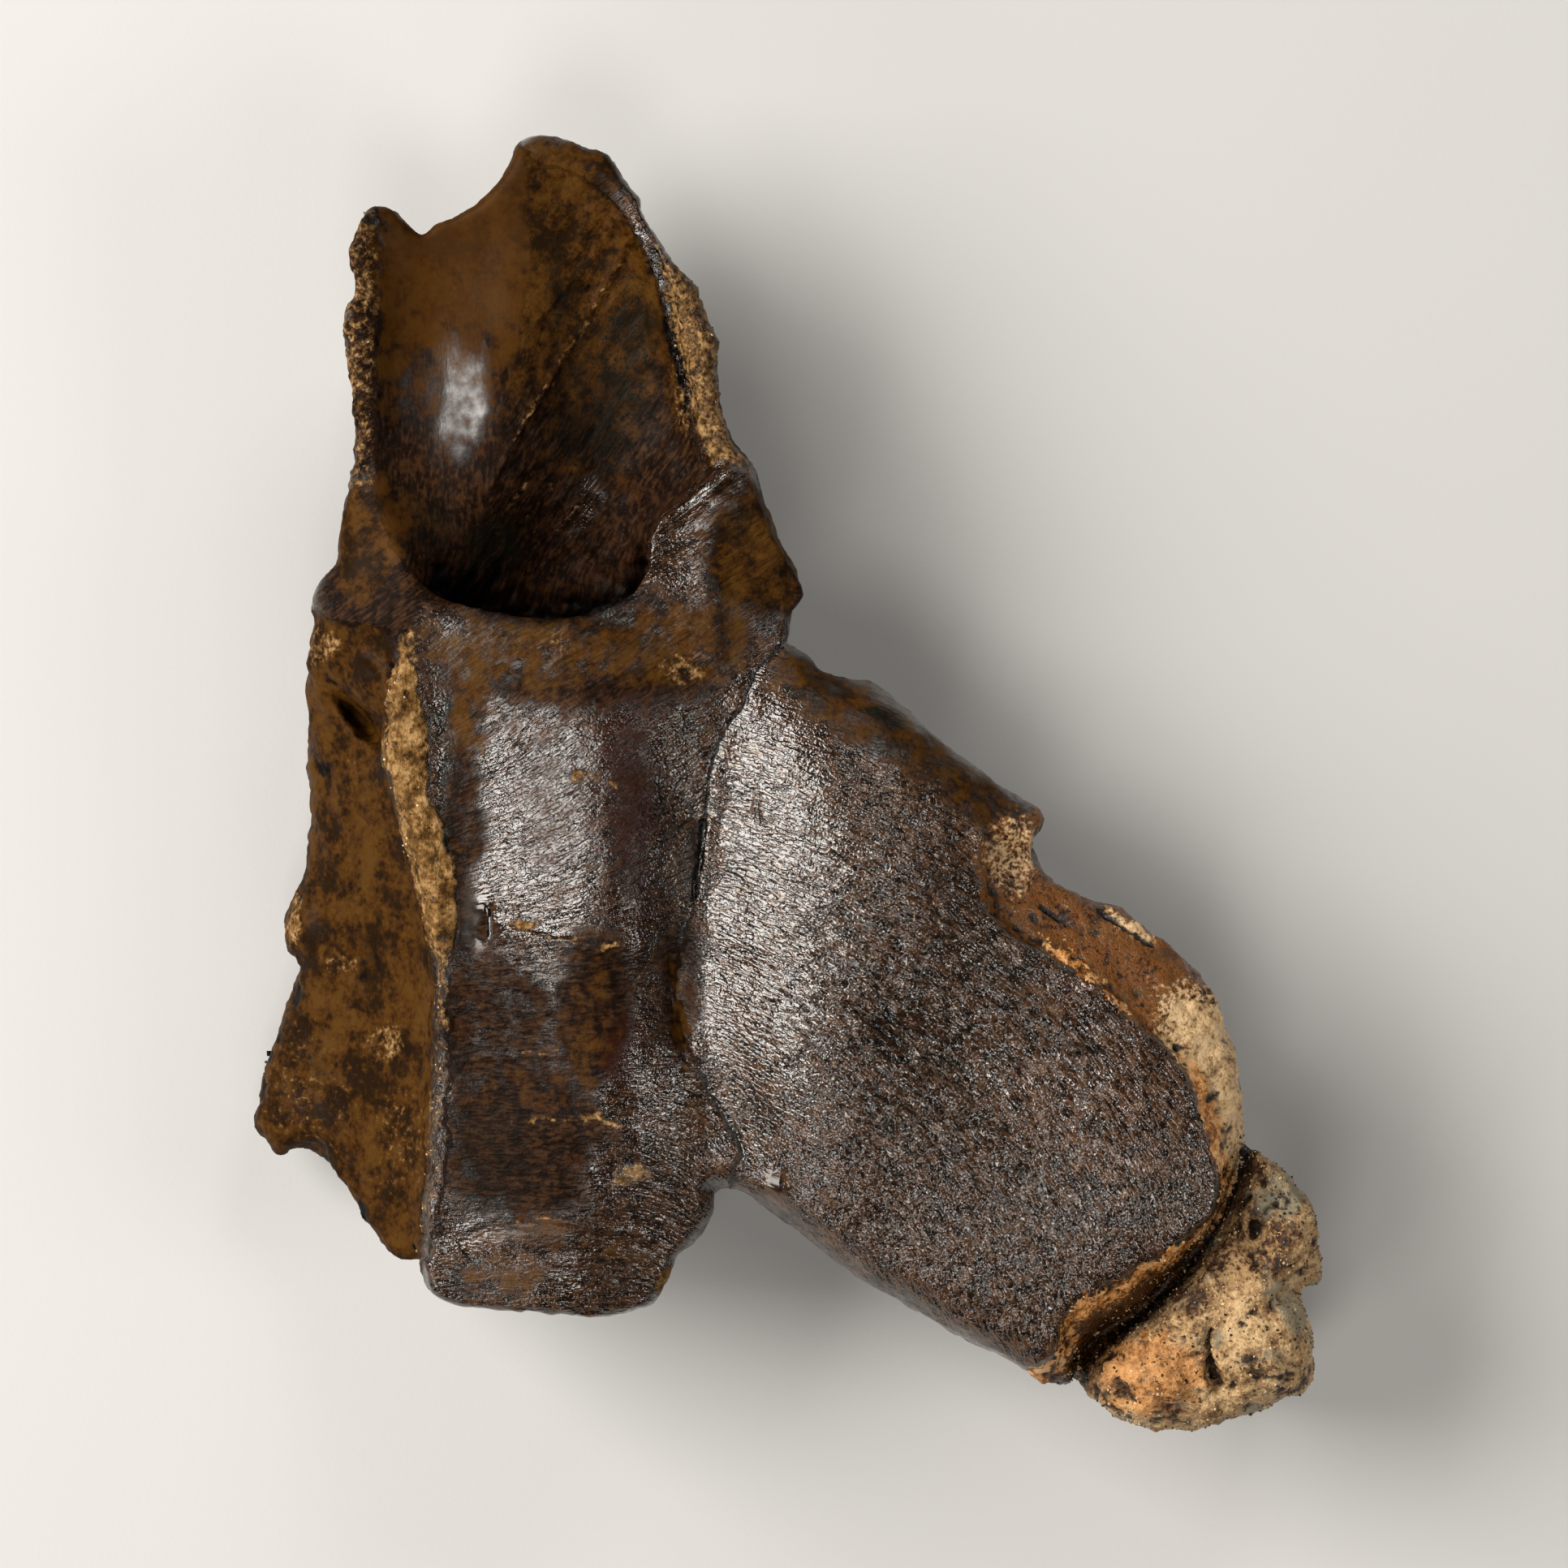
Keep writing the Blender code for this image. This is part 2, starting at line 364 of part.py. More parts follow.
def underside(x, y, depth, top):
    """Height of the underside: the arch between the pedicels, and the thin plate of the wing."""
    height = plate(UNDER_MARKS, x, y)
    for foot in (LEFT_PEDICEL, RIGHT_PEDICEL, FACET_FOOT):
        inside = depth_inside(x, y, ring_of(foot))
        height = height + (FOOT_HEIGHT - height) * ease(1 + inside / FOOT_FLARE)
    height = np.maximum(height, FOOT_HEIGHT)
    over = 1 - np.clip(depth / UNDER_ROLL, 0, 1)
    height = height + UNDER_ROLL * (1 - np.sqrt(1 - over * over))
    return np.minimum(height, top - LEAST_EDGE - EDGE_GAIN * np.minimum(depth, 10))


def row_inside(edge, step):
    """The points of the outline moved inwards by a step, without those that come too near it."""
    along = np.roll(edge, -1, axis=0) - np.roll(edge, 1, axis=0)
    along /= np.linalg.norm(along, axis=1)[:, None]
    row = edge + step * np.column_stack([-along[:, 1], along[:, 0]])
    return row[depth_inside(row[:, 0], row[:, 1], edge) > 0.93 * step]


def bone_mesh(cell):
    """The closed skin of the bone: an upper and a lower sheet over the plan, joined at its edge."""
    edge = flowing(OUTLINE, cell, closed=True)
    low, high = edge.min(axis=0), edge.max(axis=0)
    gx, gy = np.meshgrid(np.arange(low[0], high[0], cell), np.arange(low[1], high[1], cell * 0.866))
    gx[1::2] += cell / 2
    gx, gy = gx.ravel(), gy.ravel()
    inner = depth_inside(gx, gy, edge) > EDGE_ROWS[-1] + 0.6 * cell
    rows = [row_inside(edge, step) for step in EDGE_ROWS]
    points = np.concatenate([edge, *rows, np.column_stack([gx[inner], gy[inner]])])
    flat, _, faces, _, _, _ = delaunay_2d_cdt(
        [Vector(p) for p in points], [], [list(range(len(edge)))], 1, 1e-6
    )
    x, y = np.array([tuple(p) for p in flat]).T
    count = len(x)
    on_edge = np.arange(count) < len(edge)
    depth = np.where(on_edge, 0, depth_inside(x, y, edge))
    top = upper_side(x, y, depth)
    bottom = underside(x, y, depth, top)
    faces = np.array([f if turns_up(flat, f) else f[::-1] for f in faces])
    across, up = (x - SHEET_CENTRE[0]) * MM, (SHEET_CENTRE[1] - y) * MM
    vertices = np.concatenate(
        [np.column_stack([across, up, top * MM]), np.column_stack([across, up, bottom * MM])]
    )
    rim = [(i, (i + 1) % len(edge)) for i in range(len(edge))]
    walls = [(a, b, b + count, a + count) for a, b in rim]
    return vertices, faces, faces[:, ::-1] + count, walls


def turns_up(flat, face):
    """Whether a triangle of the sheet faces up once the sheet's y axis is turned round."""
    a, b, c = (flat[i] for i in face)
    return (b.x - a.x) * (c.y - a.y) - (b.y - a.y) * (c.x - a.x) < 0


def fossil_bone():
    """Dark brown mineralised bone, polished by handling."""
    material = bpy.data.materials.new("fossil_bone")
    material.use_nodes = True
    shader = material.node_tree.nodes["Principled BSDF"]
    shader.inputs["Base Color"].default_value = (0.055, 0.030, 0.016, 1)
    shader.inputs["Roughness"].default_value = 0.4
    shader.inputs["Metallic"].default_value = 0
    return material


def add_bone():
    """The bone as one named object, with its skin evened out and its flat areas thinned."""
    vertices, upper, lower, walls = bone_mesh(CELL)
    mesh = bpy.data.meshes.new("vertebra_process")
    faces = [tuple(f) for f in upper] + [tuple(f) for f in lower] + walls
    mesh.from_pydata(vertices.tolist(), [], faces)
    mesh.materials.append(fossil_bone())
    bone = bpy.data.objects.new("vertebra_process", mesh)
    bpy.context.scene.collection.objects.link(bone)
    skin = bone.modifiers.new("even skin", "REMESH")
    skin.mode = "VOXEL"
    skin.voxel_size = SKIN_VOXEL * MM
    skin.use_smooth_shade = True
    bpy.context.view_layer.update()
    evaluated = bone.evaluated_get(bpy.context.evaluated_depsgraph_get())
    quads = len(evaluated.data.polygons)
    thin = bone.modifiers.new("fewer faces", "DECIMATE")
    thin.ratio = MOST_TRIANGLES / (2 * quads)
    return bone


def main():
    for old in list(bpy.data.objects):
        bpy.data.objects.remove(old)
    add_bone()


main()
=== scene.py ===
"""A fossil vertebra process of a duck-billed dinosaur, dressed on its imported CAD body."""

import bpy
import numpy as np
from bpy.props import FloatProperty, FloatVectorProperty, IntProperty, PointerProperty
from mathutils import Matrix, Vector
from mathutils.geometry import delaunay_2d_cdt


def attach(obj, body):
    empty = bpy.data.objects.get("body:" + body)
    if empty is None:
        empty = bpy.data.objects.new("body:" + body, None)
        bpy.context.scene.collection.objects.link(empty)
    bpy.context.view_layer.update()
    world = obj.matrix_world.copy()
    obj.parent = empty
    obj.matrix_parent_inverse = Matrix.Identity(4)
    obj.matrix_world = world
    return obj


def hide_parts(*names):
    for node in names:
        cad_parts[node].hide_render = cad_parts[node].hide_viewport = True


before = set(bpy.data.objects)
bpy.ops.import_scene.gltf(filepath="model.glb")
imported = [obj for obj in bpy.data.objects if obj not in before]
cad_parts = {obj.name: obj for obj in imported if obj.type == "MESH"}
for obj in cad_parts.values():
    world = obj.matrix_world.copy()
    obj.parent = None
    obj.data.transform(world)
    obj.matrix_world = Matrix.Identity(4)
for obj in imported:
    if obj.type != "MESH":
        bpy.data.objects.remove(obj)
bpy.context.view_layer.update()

bl_info = {
    "name": "Fossil Vertebra Process",
    "version": (1, 0, 0),
    "blender": (4, 5, 0),
    "location": "View3D > Sidebar > Fossil",
    "description": "Builds a broken dinosaur vertebra process with its polished shell and crusts",
    "category": "Object",
}

MM = 0.001

# The plan of the bone is drawn on a sheet, in millimetres: x to the right and y down from the
# top left corner. Heights are millimetres above the surface that the bone lies on.
SHEET_CENTRE = (96.8, 96.6)

# Outline of the bone seen from above, clockwise from the tip
OUTLINE = (
    (64.2, 17.2), (66.6, 16.3), (69.9, 17.0), (72.4, 18.0), (74.9, 18.6), (77.2, 22.1), (78.8, 24.0),
    (79.5, 26.3), (81.1, 28.8), (82.8, 31.7), (84.8, 34.1), (86.3, 36.6), (87.7, 39.5), (88.3, 42.0),
    (88.4, 46.2), (88.8, 50.3), (89.8, 53.6), (91.9, 56.5), (93.3, 59.0), (94.4, 62.3), (96.0, 66.5),
    (97.7, 69.8), (99.2, 72.7), (99.1, 73.9), (97.7, 75.6), (97.3, 77.4), (97.0, 79.3), (98.3, 80.0),
    (100.0, 81.2), (101.2, 82.5), (103.7, 83.6), (107.0, 83.9), (109.1, 85.2), (111.2, 87.0),
    (114.1, 89.5), (117.0, 92.2), (119.9, 94.3), (122.8, 96.3), (125.7, 98.2), (127.7, 99.4),
    (128.5, 100.9), (128.2, 102.2), (127.4, 103.5), (127.7, 105.2), (128.8, 107.3), (130.2, 109.0),
    (132.3, 110.2), (134.8, 111.4), (138.1, 112.2), (141.0, 114.0), (143.6, 116.2), (146.8, 119.1),
    (149.3, 122.0), (150.7, 124.9), (151.3, 127.4), (152.5, 129.8), (152.9, 133.0), (153.2, 138.4),
    (153.9, 141.2), (156.1, 142.7), (158.6, 144.9), (160.4, 146.9), (161.9, 148.7), (162.7, 151.0),
    (163.1, 154.0), (163.6, 157.8), (162.9, 158.8), (161.0, 159.2), (161.1, 161.6), (161.8, 165.0),
    (162.5, 169.5), (161.7, 171.8), (159.8, 172.5), (157.8, 173.4), (155.0, 174.6), (151.6, 175.5),
    (148.8, 176.7), (145.8, 176.9), (142.2, 176.4), (138.9, 175.5), (136.2, 173.8), (134.2, 172.2),
    (133.0, 171.3), (131.4, 171.0), (129.1, 170.8), (127.0, 169.4), (124.6, 167.6), (121.8, 166.4),
    (117.5, 164.3), (113.2, 161.8), (109.9, 159.9), (105.8, 157.6), (102.4, 155.1), (99.5, 152.6),
    (97.0, 150.6), (94.2, 148.6), (91.2, 146.8), (89.4, 146.5), (88.2, 147.2), (87.8, 149.6),
    (86.4, 152.2), (84.8, 153.8), (83.4, 155.0), (82.6, 157.6), (81.0, 160.2), (79.3, 161.4),
    (76.5, 161.9), (73.4, 162.2), (69.5, 162.0), (65.3, 161.7), (61.2, 161.5), (57.0, 161.2),
    (54.5, 160.4), (52.9, 159.2), (52.0, 157.2), (51.3, 155.6), (49.1, 155.8), (47.2, 154.9),
    (45.4, 152.6), (43.9, 151.1), (43.0, 148.6), (41.6, 146.8), (39.6, 144.8), (37.6, 143.0),
    (35.2, 142.4), (33.2, 143.2), (31.6, 141.4), (30.0, 139.8), (30.4, 136.8), (31.0, 132.6),
    (32.6, 128.4), (34.8, 123.2), (36.2, 119.6), (35.7, 118.2), (34.4, 117.2), (34.2, 115.0),
    (34.6, 112.2), (35.8, 108.8), (36.8, 105.0), (37.3, 98.4), (37.0, 92.0), (37.2, 85.0),
    (37.7, 79.6), (38.1, 76.6), (38.0, 73.6), (38.9, 71.4), (41.0, 69.0), (41.7, 65.0), (42.4, 61.4),
    (43.5, 57.6), (43.8, 54.4), (43.3, 50.6), (43.3, 46.4), (42.9, 41.6), (42.9, 37.6), (43.8, 35.6),
    (43.7, 31.4), (44.3, 27.4), (45.4, 25.7), (47.0, 25.2), (48.6, 25.7), (49.9, 27.4), (51.9, 28.7),
    (53.8, 27.2), (56.6, 26.0), (59.4, 24.4), (61.3, 22.1), (62.7, 20.0),
)
# Border of the sloping left flank, along the worn crest
CREST_RING = (
    (43.0, 77.0), (48.0, 78.0), (48.9, 82.0), (47.9, 88.0), (47.4, 94.0), (49.0, 99.0), (50.2, 104.0),
    (51.8, 109.0), (53.0, 115.0), (53.8, 122.0), (53.4, 129.0), (53.2, 136.0), (53.0, 143.0),
    (52.2, 150.0), (52.0, 156.0), (50.0, 170.0), (20.0, 170.0), (20.0, 77.0),
)
# Border of the hollowed tip
CUP_RING = (
    (46.9, 20.0), (47.2, 30.0), (46.8, 40.0), (46.4, 50.0), (46.6, 60.0), (49.0, 68.0), (52.0, 71.4),
    (55.6, 73.4), (59.8, 74.6), (63.8, 75.4), (68.0, 75.8), (72.0, 75.4), (75.4, 74.3), (78.2, 72.4),
    (79.6, 69.6), (80.0, 66.4), (82.0, 63.2), (85.4, 60.6), (87.0, 57.4), (85.4, 53.0), (84.4, 48.0),
    (82.8, 42.0), (81.4, 36.0), (79.6, 31.0), (76.0, 25.0), (71.0, 21.2), (66.0, 19.6), (60.0, 14.0),
)
# Border of the broken band round the wing's end, open towards the edge of the sheet
BREAK_RING = (
    (134.0, 98.0), (127.0, 100.6), (122.8, 101.0), (120.9, 103.4), (120.3, 106.6), (120.8, 109.8),
    (122.4, 112.8), (125.6, 115.6), (129.8, 117.9), (133.6, 120.2), (137.2, 123.6), (141.2, 126.8),
    (144.6, 130.0), (146.8, 134.2), (148.2, 138.4), (149.4, 142.2), (150.6, 145.8), (149.8, 149.4),
    (147.2, 152.0), (143.4, 154.2), (139.4, 156.4), (135.4, 158.8), (131.8, 161.2), (130.8, 164.4),
    (130.0, 167.0), (129.2, 174.0), (180.0, 190.0), (180.0, 98.0),
)
# Border of the rough lump at the wing's end
FACET_RING = (
    (155.4, 140.0), (153.4, 144.4), (151.4, 149.4), (148.4, 154.6), (145.0, 158.8), (141.4, 162.4),
    (137.6, 165.4), (135.2, 168.4), (133.6, 173.6), (140.0, 190.0), (180.0, 190.0), (180.0, 140.0),
)
# Lines of the groove before the lump, the fold beside the cup and the crest
GROOVE = (
    (154.2, 141.6), (152.4, 146.0), (150.2, 150.6), (147.2, 155.4), (144.0, 159.4), (140.2, 162.9),
    (136.4, 165.6), (134.2, 168.6), (133.2, 172.4),
)
FOLD = ((77.0, 68.6), (79.4, 65.2), (82.4, 62.4), (85.8, 60.2), (89.8, 58.4))
CREST = (
    (50.0, 78.0), (50.2, 86.0), (49.9, 93.0), (51.2, 100.0), (53.2, 106.0), (54.4, 112.0),
    (55.0, 118.0), (55.0, 124.0), (54.8, 132.0), (54.4, 140.0), (53.4, 148.0), (52.8, 157.0),
)
# Given heights, each x, y, height, for the shell, flank, cup, rims, break, lump and underside
CORTEX_MARKS = (
    (50.0, 78, 36.0), (50.2, 86, 36.6), (50.0, 94, 37.0), (52.4, 103, 37.6), (54.6, 112, 37.8),
    (55.2, 122, 37.6), (55.0, 134, 37.0), (54.2, 146, 36.0), (53.2, 156, 34.6),
    (57, 80, 37.4), (57, 92, 37.6), (58.4, 104, 38.2), (59.4, 116, 38.6), (59.4, 130, 38.2),
    (59, 144, 37.4), (59.4, 158, 35.6),
    (64.6, 80, 38.8), (64.6, 92, 40.0), (64.6, 104, 40.6), (64.8, 116, 40.8), (64.8, 130, 40.0),
    (65, 144, 39.2), (65, 158, 37.0), (70, 81, 40.0), (70.4, 92, 42.3), (70.6, 104, 43.2),
    (70.8, 116, 43.2), (70.8, 130, 42.0), (71, 144, 40.4), (70, 157, 37.8), (75, 92, 43.2),
    (75.4, 104, 44.2), (75.6, 116, 43.8), (75.6, 130, 42.2), (76, 144, 40.2), (80, 80, 40.0),
    (80, 92, 42.2), (80.4, 104, 42.6), (80.2, 116, 41.6), (80, 128, 40.6), (81, 142, 39.0),
    (78, 156, 36.4), (93, 82.5, 38.6), (89, 90, 38.4), (87, 100, 38.0), (86, 110, 37.4),
    (84.2, 118, 37.2), (84, 126, 37.2), (87.5, 134, 37.0), (91, 140, 37.0), (86.5, 146.5, 36.4),
    (84, 152, 35.2), (92.5, 96, 39.8), (92, 105, 39.6), (91.5, 115, 39.6), (91.5, 125, 39.6),
    (94.5, 134, 40.4), (98, 86, 39.8), (100, 94, 42.0), (100, 104, 43.0), (100, 116, 43.4),
    (99, 127, 43.2), (102, 138, 43.0), (101, 147, 40.0), (109, 96, 43.0), (111, 107, 45.0),
    (112, 119, 44.8), (113, 131, 43.4), (115, 143, 42.2), (113, 155, 39.4), (119, 104, 43.0),
    (123, 118, 43.0), (126, 130, 42.2), (129, 144, 42.2), (127, 157, 40.6), (133, 124, 42.6),
    (139, 137, 43.2), (141, 147, 42.6), (137, 154, 41.4), (147, 140, 41.8), (149, 146, 41.0),
    (128, 167, 37.6), (106, 86.5, 40.0), (113, 92, 40.6), (120, 98, 40.2), (126, 101, 38.8),
    (93, 147, 36.8), (105, 156, 37.0), (120, 165, 37.2), (80, 74, 37.8), (84, 68.5, 36.6),
    (87, 63.5, 36.6), (89.5, 60, 37.0), (93, 68, 36.6), (97, 73.5, 35.2), (92, 76, 37.6),
)
FLANK_MARKS = (
    (47.5, 80, 32.0), (46.5, 88, 27.5), (46.5, 96, 28.0), (48.5, 104, 29.5), (51, 113, 30.0),
    (52, 123, 29.5), (51.5, 135, 28.5), (50, 147, 27.0), (49.5, 154, 25.5), (42.5, 80, 28.6),
    (41, 88, 23.0), (41.5, 98, 22.0), (43, 108, 22.5), (44.5, 120, 22.8), (44, 132, 21.5),
    (44, 143, 20.8), (38.6, 80, 25.2), (37.8, 90, 19.0), (38, 102, 17.5), (37, 112, 16.5),
    (36.6, 122, 16.5), (34.5, 132, 15.0), (31.5, 139, 13.5), (37, 141, 16.5), (41, 147, 18.5),
    (44, 60, 31.0), (44.5, 68, 30.5), (40.5, 72, 27.5), (47.5, 74, 33.5), (43.6, 64, 29.5),
)
CUP_MARKS = (
    (45.4, 28, 33.5), (45.2, 40, 33.0), (45.0, 50, 32.6), (45.6, 60, 31.8), (48.4, 30, 31.4),
    (48.2, 40, 30.9), (48.0, 50, 30.6), (48.6, 59, 30.2), (51, 66, 30.6), (53, 31, 29.6),
    (53, 41, 29.3), (53.2, 51, 28.8), (54, 61, 28.2), (57.5, 69, 24.6), (57, 30, 30.0),
    (57, 40, 29.8), (57, 51, 30.0), (58.4, 60, 29.2), (60.6, 29, 30.5), (60.6, 39, 30.2),
    (60.4, 51, 31.5), (62, 60, 28.6), (63, 67, 21.0), (64.2, 22, 33.4), (64.8, 30, 31.0),
    (64.8, 39, 30.7), (65, 49, 30.2), (66.4, 59, 24.8), (70, 22, 32.0), (69.6, 30, 29.6),
    (69.6, 40, 27.4), (70, 50, 25.6), (71, 60, 22.4), (70, 68, 18.0), (75, 26, 31.0),
    (76, 32, 28.8), (76.4, 41, 26.4), (77, 50, 24.8), (77, 60, 22.4), (80, 42, 27.0),
    (81.6, 52, 26.2), (78, 65, 21.8), (76, 70, 19.0), (62, 73.4, 19.0), (68.6, 74, 17.0),
    (74, 72.8, 18.0), (83, 59, 28.8), (54, 71.4, 29.4),
)
RIM_MARKS = (
    (66, 17.4, 33.0), (73, 19, 33.6), (78, 25.6, 33.6), (81.6, 31.4, 33.8), (84.8, 38, 34.0),
    (86.4, 45, 34.2), (87, 52, 34.6), (89, 57, 35.6), (45, 28, 33.5), (44.8, 40, 33.0),
    (44.6, 50, 32.6), (44, 60, 31.2), (46, 69, 31.0), (44, 74, 30.6), (39.6, 73, 27.6),
    (48, 76.6, 33.4), (52, 77, 36.0), (60, 77.4, 37.0), (70, 77.8, 37.6), (78, 76, 38.0),
    (84, 68.5, 36.8), (89.5, 60, 37.0), (60, 84, 38.6), (62, 20.5, 33.6), (51, 28.6, 30.6),
    (56, 26.6, 30.8),
)
BREAK_MARKS = (
    (124, 103, 39.6), (127, 101.6, 38.4), (122.2, 107, 38.8), (125, 106, 37.6), (127, 106, 36.8),
    (124.0, 111.6, 38.8), (128, 113.2, 38.6), (130, 110.4, 36.8), (133, 117, 39.2), (136, 114, 37.4),
    (139, 122, 39.4), (141.6, 117, 37.4), (145, 127.4, 39.6), (147, 122, 37.0), (148.4, 133, 39.2),
    (150.6, 127, 36.8), (150.4, 139, 38.6), (152.4, 134, 36.4), (151.8, 144, 37.4), (153, 140, 36.4),
    (150.4, 150, 36.4), (147, 153.6, 36.6), (142, 157.4, 36.4), (137, 160.6, 35.8),
    (133.4, 164.4, 34.8), (132.4, 168.6, 33.2), (131, 170.6, 32.4),
    (150.6, 147.4, 38.8), (147.6, 152.6, 39.4), (143.8, 155.2, 39.4), (139.8, 157.6, 39.0),
    (135.8, 160.0, 38.0), (132.6, 162.6, 36.8), (144.0, 158.4, 34.6), (140.0, 161.8, 34.2),
)
FACET_MARKS = (
    (156, 144, 35.0), (160, 149, 35.2), (162.4, 155, 33.2), (161.4, 158.4, 31.5), (155, 148, 35.0),
    (153.6, 153, 34.6), (157.6, 155, 36.0), (154, 159.6, 36.3), (158, 164, 36.7), (160, 170, 34.5),
    (161.4, 171.6, 31.5), (155, 170, 36.3), (150.4, 166, 35.9), (149.8, 172.6, 34.3),
    (145, 166.8, 35.1), (140.6, 169, 34.7), (143, 174, 32.3), (137.4, 171.6, 32.5), (147, 176, 30.1),
    (152, 175, 30.5), (135.4, 170, 31.5), (156, 174, 30.5), (150.6, 157, 35.2), (146.4, 162, 34.8),
)
UNDER_MARKS = (
    (95, 95, 25), (100, 86, 26), (110, 93, 28), (118, 99, 28), (125, 105, 26), (104, 110, 27),
    (114, 112, 29), (124, 118, 27), (134, 118, 24), (144, 123, 20), (150, 132, 20), (98, 125, 25),
    (108, 128, 27), (118, 132, 26), (128, 138, 22), (138, 142, 17), (148, 144, 16), (97, 146, 27),
    (108, 152, 26), (118, 158, 25), (127, 165, 20), (131, 168, 20), (135, 155, 19), (142, 158, 17),
    (150, 160, 6), (155, 152, 15), (158, 160, 12), (150, 171, 12), (142, 170, 14), (160, 170, 15),
    (138, 173, 18), (64, 88, 20), (64, 105, 23), (64, 120, 23), (64, 135, 23), (64, 150, 24),
    (64, 160, 26), (80, 150, 25), (80, 160, 27), (56, 158, 23), (88, 146, 27), (33, 138, 7),
    (40, 148, 11), (46, 154, 15), (46, 30, 23), (46, 45, 19), (46, 60, 15), (56, 30, 17), (56, 45, 11),
    (56, 62, 7), (66, 20, 23), (68, 30, 17), (70, 45, 9), (70, 62, 5), (82, 30, 21), (84, 45, 15),
    (84, 60, 13), (72, 20, 25), (92, 66, 19), (97, 73, 24), (60, 76, 7), (75, 78, 5), (45, 72, 9),
    (40, 76, 8), (37, 95, 4), (36, 120, 4),
)
# The three feet that the bone lies on
LEFT_PEDICEL = (
    (39, 86), (44, 82), (52, 84), (56, 92), (56.5, 106), (56.5, 122), (56, 136), (52, 146), (45, 144),
    (40, 136), (38.5, 122), (39.5, 104),
)
RIGHT_PEDICEL = (
    (74, 88), (82, 84), (90, 88), (94, 98), (94, 112), (92, 124), (90, 134), (84, 140), (77, 138),
    (73, 128), (72, 112), (72, 98),
)
FACET_FOOT = (
    (148.5, 161), (151, 156.5), (154.5, 154), (157.5, 157), (158.5, 164), (157.5, 169.5),
    (153, 171.5), (147, 172), (144, 169.5), (145, 165.5),
)
# How far in the edge is rolled over: x, y, width
ROLL_MARKS = (
    (100, 80, 3.5), (113, 88, 4.5), (124, 98, 4.0), (129, 104, 1.5), (150, 120, 2.5), (153, 140, 2.0),
    (161, 150, 2.5), (156, 175, 3.5), (136, 172, 2.5), (126, 168, 4.0), (105, 157, 5.0), (93, 147, 4.0),
    (84, 154, 1.8), (70, 162, 1.6), (53, 160, 1.6), (45, 152, 1.6), (32, 142, 3.0), (36, 120, 3.5),
    (37, 95, 3.5), (40, 72, 3.0), (43, 55, 1.6), (44, 30, 1.2), (52, 28, 1.0), (64, 18, 2.2),
    (77, 22, 2.2), (86, 38, 2.6), (93, 58, 2.4), (99, 73, 1.2), (97, 79, 1.2),
)
# Bumps and pits: x, y, half length, half width, turn in degrees, height
LUMPS = (
    (45.8, 84.6, 3.6, 2.6, 20, 2.2),
    (43.6, 88.3, 3.4, 0.8, 48, -9.0),
    (39.2, 88.0, 1.6, 1.2, 70, -1.6),
    (35.8, 113.4, 4.0, 1.8, 80, 1.8),
    (83.4, 119.8, 1.9, 0.9, 80, -0.9),
    (83.9, 126.4, 3.4, 0.9, 74, -1.1),
    (86.2, 104.0, 4.6, 0.6, 94, -1.0),
    (112.6, 127.6, 5.2, 2.4, 24, -1.2),
    (119.0, 131.0, 4.4, 3.0, 20, -0.9),
    (105.0, 126.0, 4.0, 1.6, 30, 0.5),
    (84.4, 65.6, 5.4, 1.9, -36, -1.6),
    (37.6, 142.8, 2.0, 1.4, 0, -3.0),
    (51.6, 155.0, 1.0, 0.7, 60, -3.0),
    (149.8, 169.8, 2.6, 0.7, 72, -3.0),
    (155.0, 153.0, 2.6, 1.8, 40, -1.8),
    (161.4, 158.8, 3.0, 1.0, -20, -1.6),
    (147.4, 162.6, 2.4, 1.4, 20, 1.0),
    (136.0, 167.4, 1.8, 1.0, 40, 1.0),
    (132.8, 166.8, 2.6, 1.6, -60, -1.6),
    (88.2, 146.6, 1.2, 0.8, 30, -4.0),
    (66.0, 152.0, 9.0, 1.4, -14, 0.4),
    (70.0, 139.0, 7.0, 1.0, -4, 0.4),
    (69.0, 116.2, 7.0, 0.8, 8, 0.45),
)

# The crack between column and wing is the border of two fibre directions: y, x
VALLEY_SIDE = (
    (79.0, 97.0), (82.4, 93.6), (86.6, 91.8), (91.0, 89.0), (95.6, 87.6), (100.4, 87.0), (105.6, 86.2),
    (111.0, 85.8), (116.4, 84.2), (121.4, 83.2), (126.4, 84.0), (131.6, 86.0), (136.6, 88.6),
    (141.6, 91.6), (146.5, 90.0),
)
# The wing's fibres curve round this point, and the cup's walls are drawn back from its centre
FIBRE_CENTRE = (60.0, 194.0)
CUP_CENTRE = (66, 62)
# The thin edge: how thick it is, and how far in the underside rolls up to it
EDGE_THICKNESS = 2.4
EDGE_ROLL = 6.0
# Rows of points that follow the outline, this far inside it
EDGE_ROWS = (0.2, 0.6, 1.2, 2.0, 2.8)
# Triangles over the plan: their height for a side of 1, none outside the outline, and the
# distance in millimetres within which two corners are one
TRIANGLE_HEIGHT = 0.866
INSIDE_ONLY = 1
MERGE_WITHIN = 1e-6
# Left and right edges of the worn tan crest: y, x left, x right
CREST_BAND = (
    (77.0, 49.5, 49.6), (82.0, 48.7, 51.6), (87.0, 47.4, 52.8), (93.0, 46.8, 52.9), (98.2, 48.6, 53.2),
    (103.0, 49.5, 54.9), (107.7, 50.6, 56.1), (112.7, 52.2, 56.8), (116.8, 53.2, 56.1),
    (120.5, 53.7, 55.8), (127.8, 53.6, 55.6), (134.0, 52.9, 55.4), (140.2, 53.0, 55.6),
    (144.4, 52.4, 54.9), (150.0, 51.8, 53.6), (156.0, 52.0, 53.0),
)
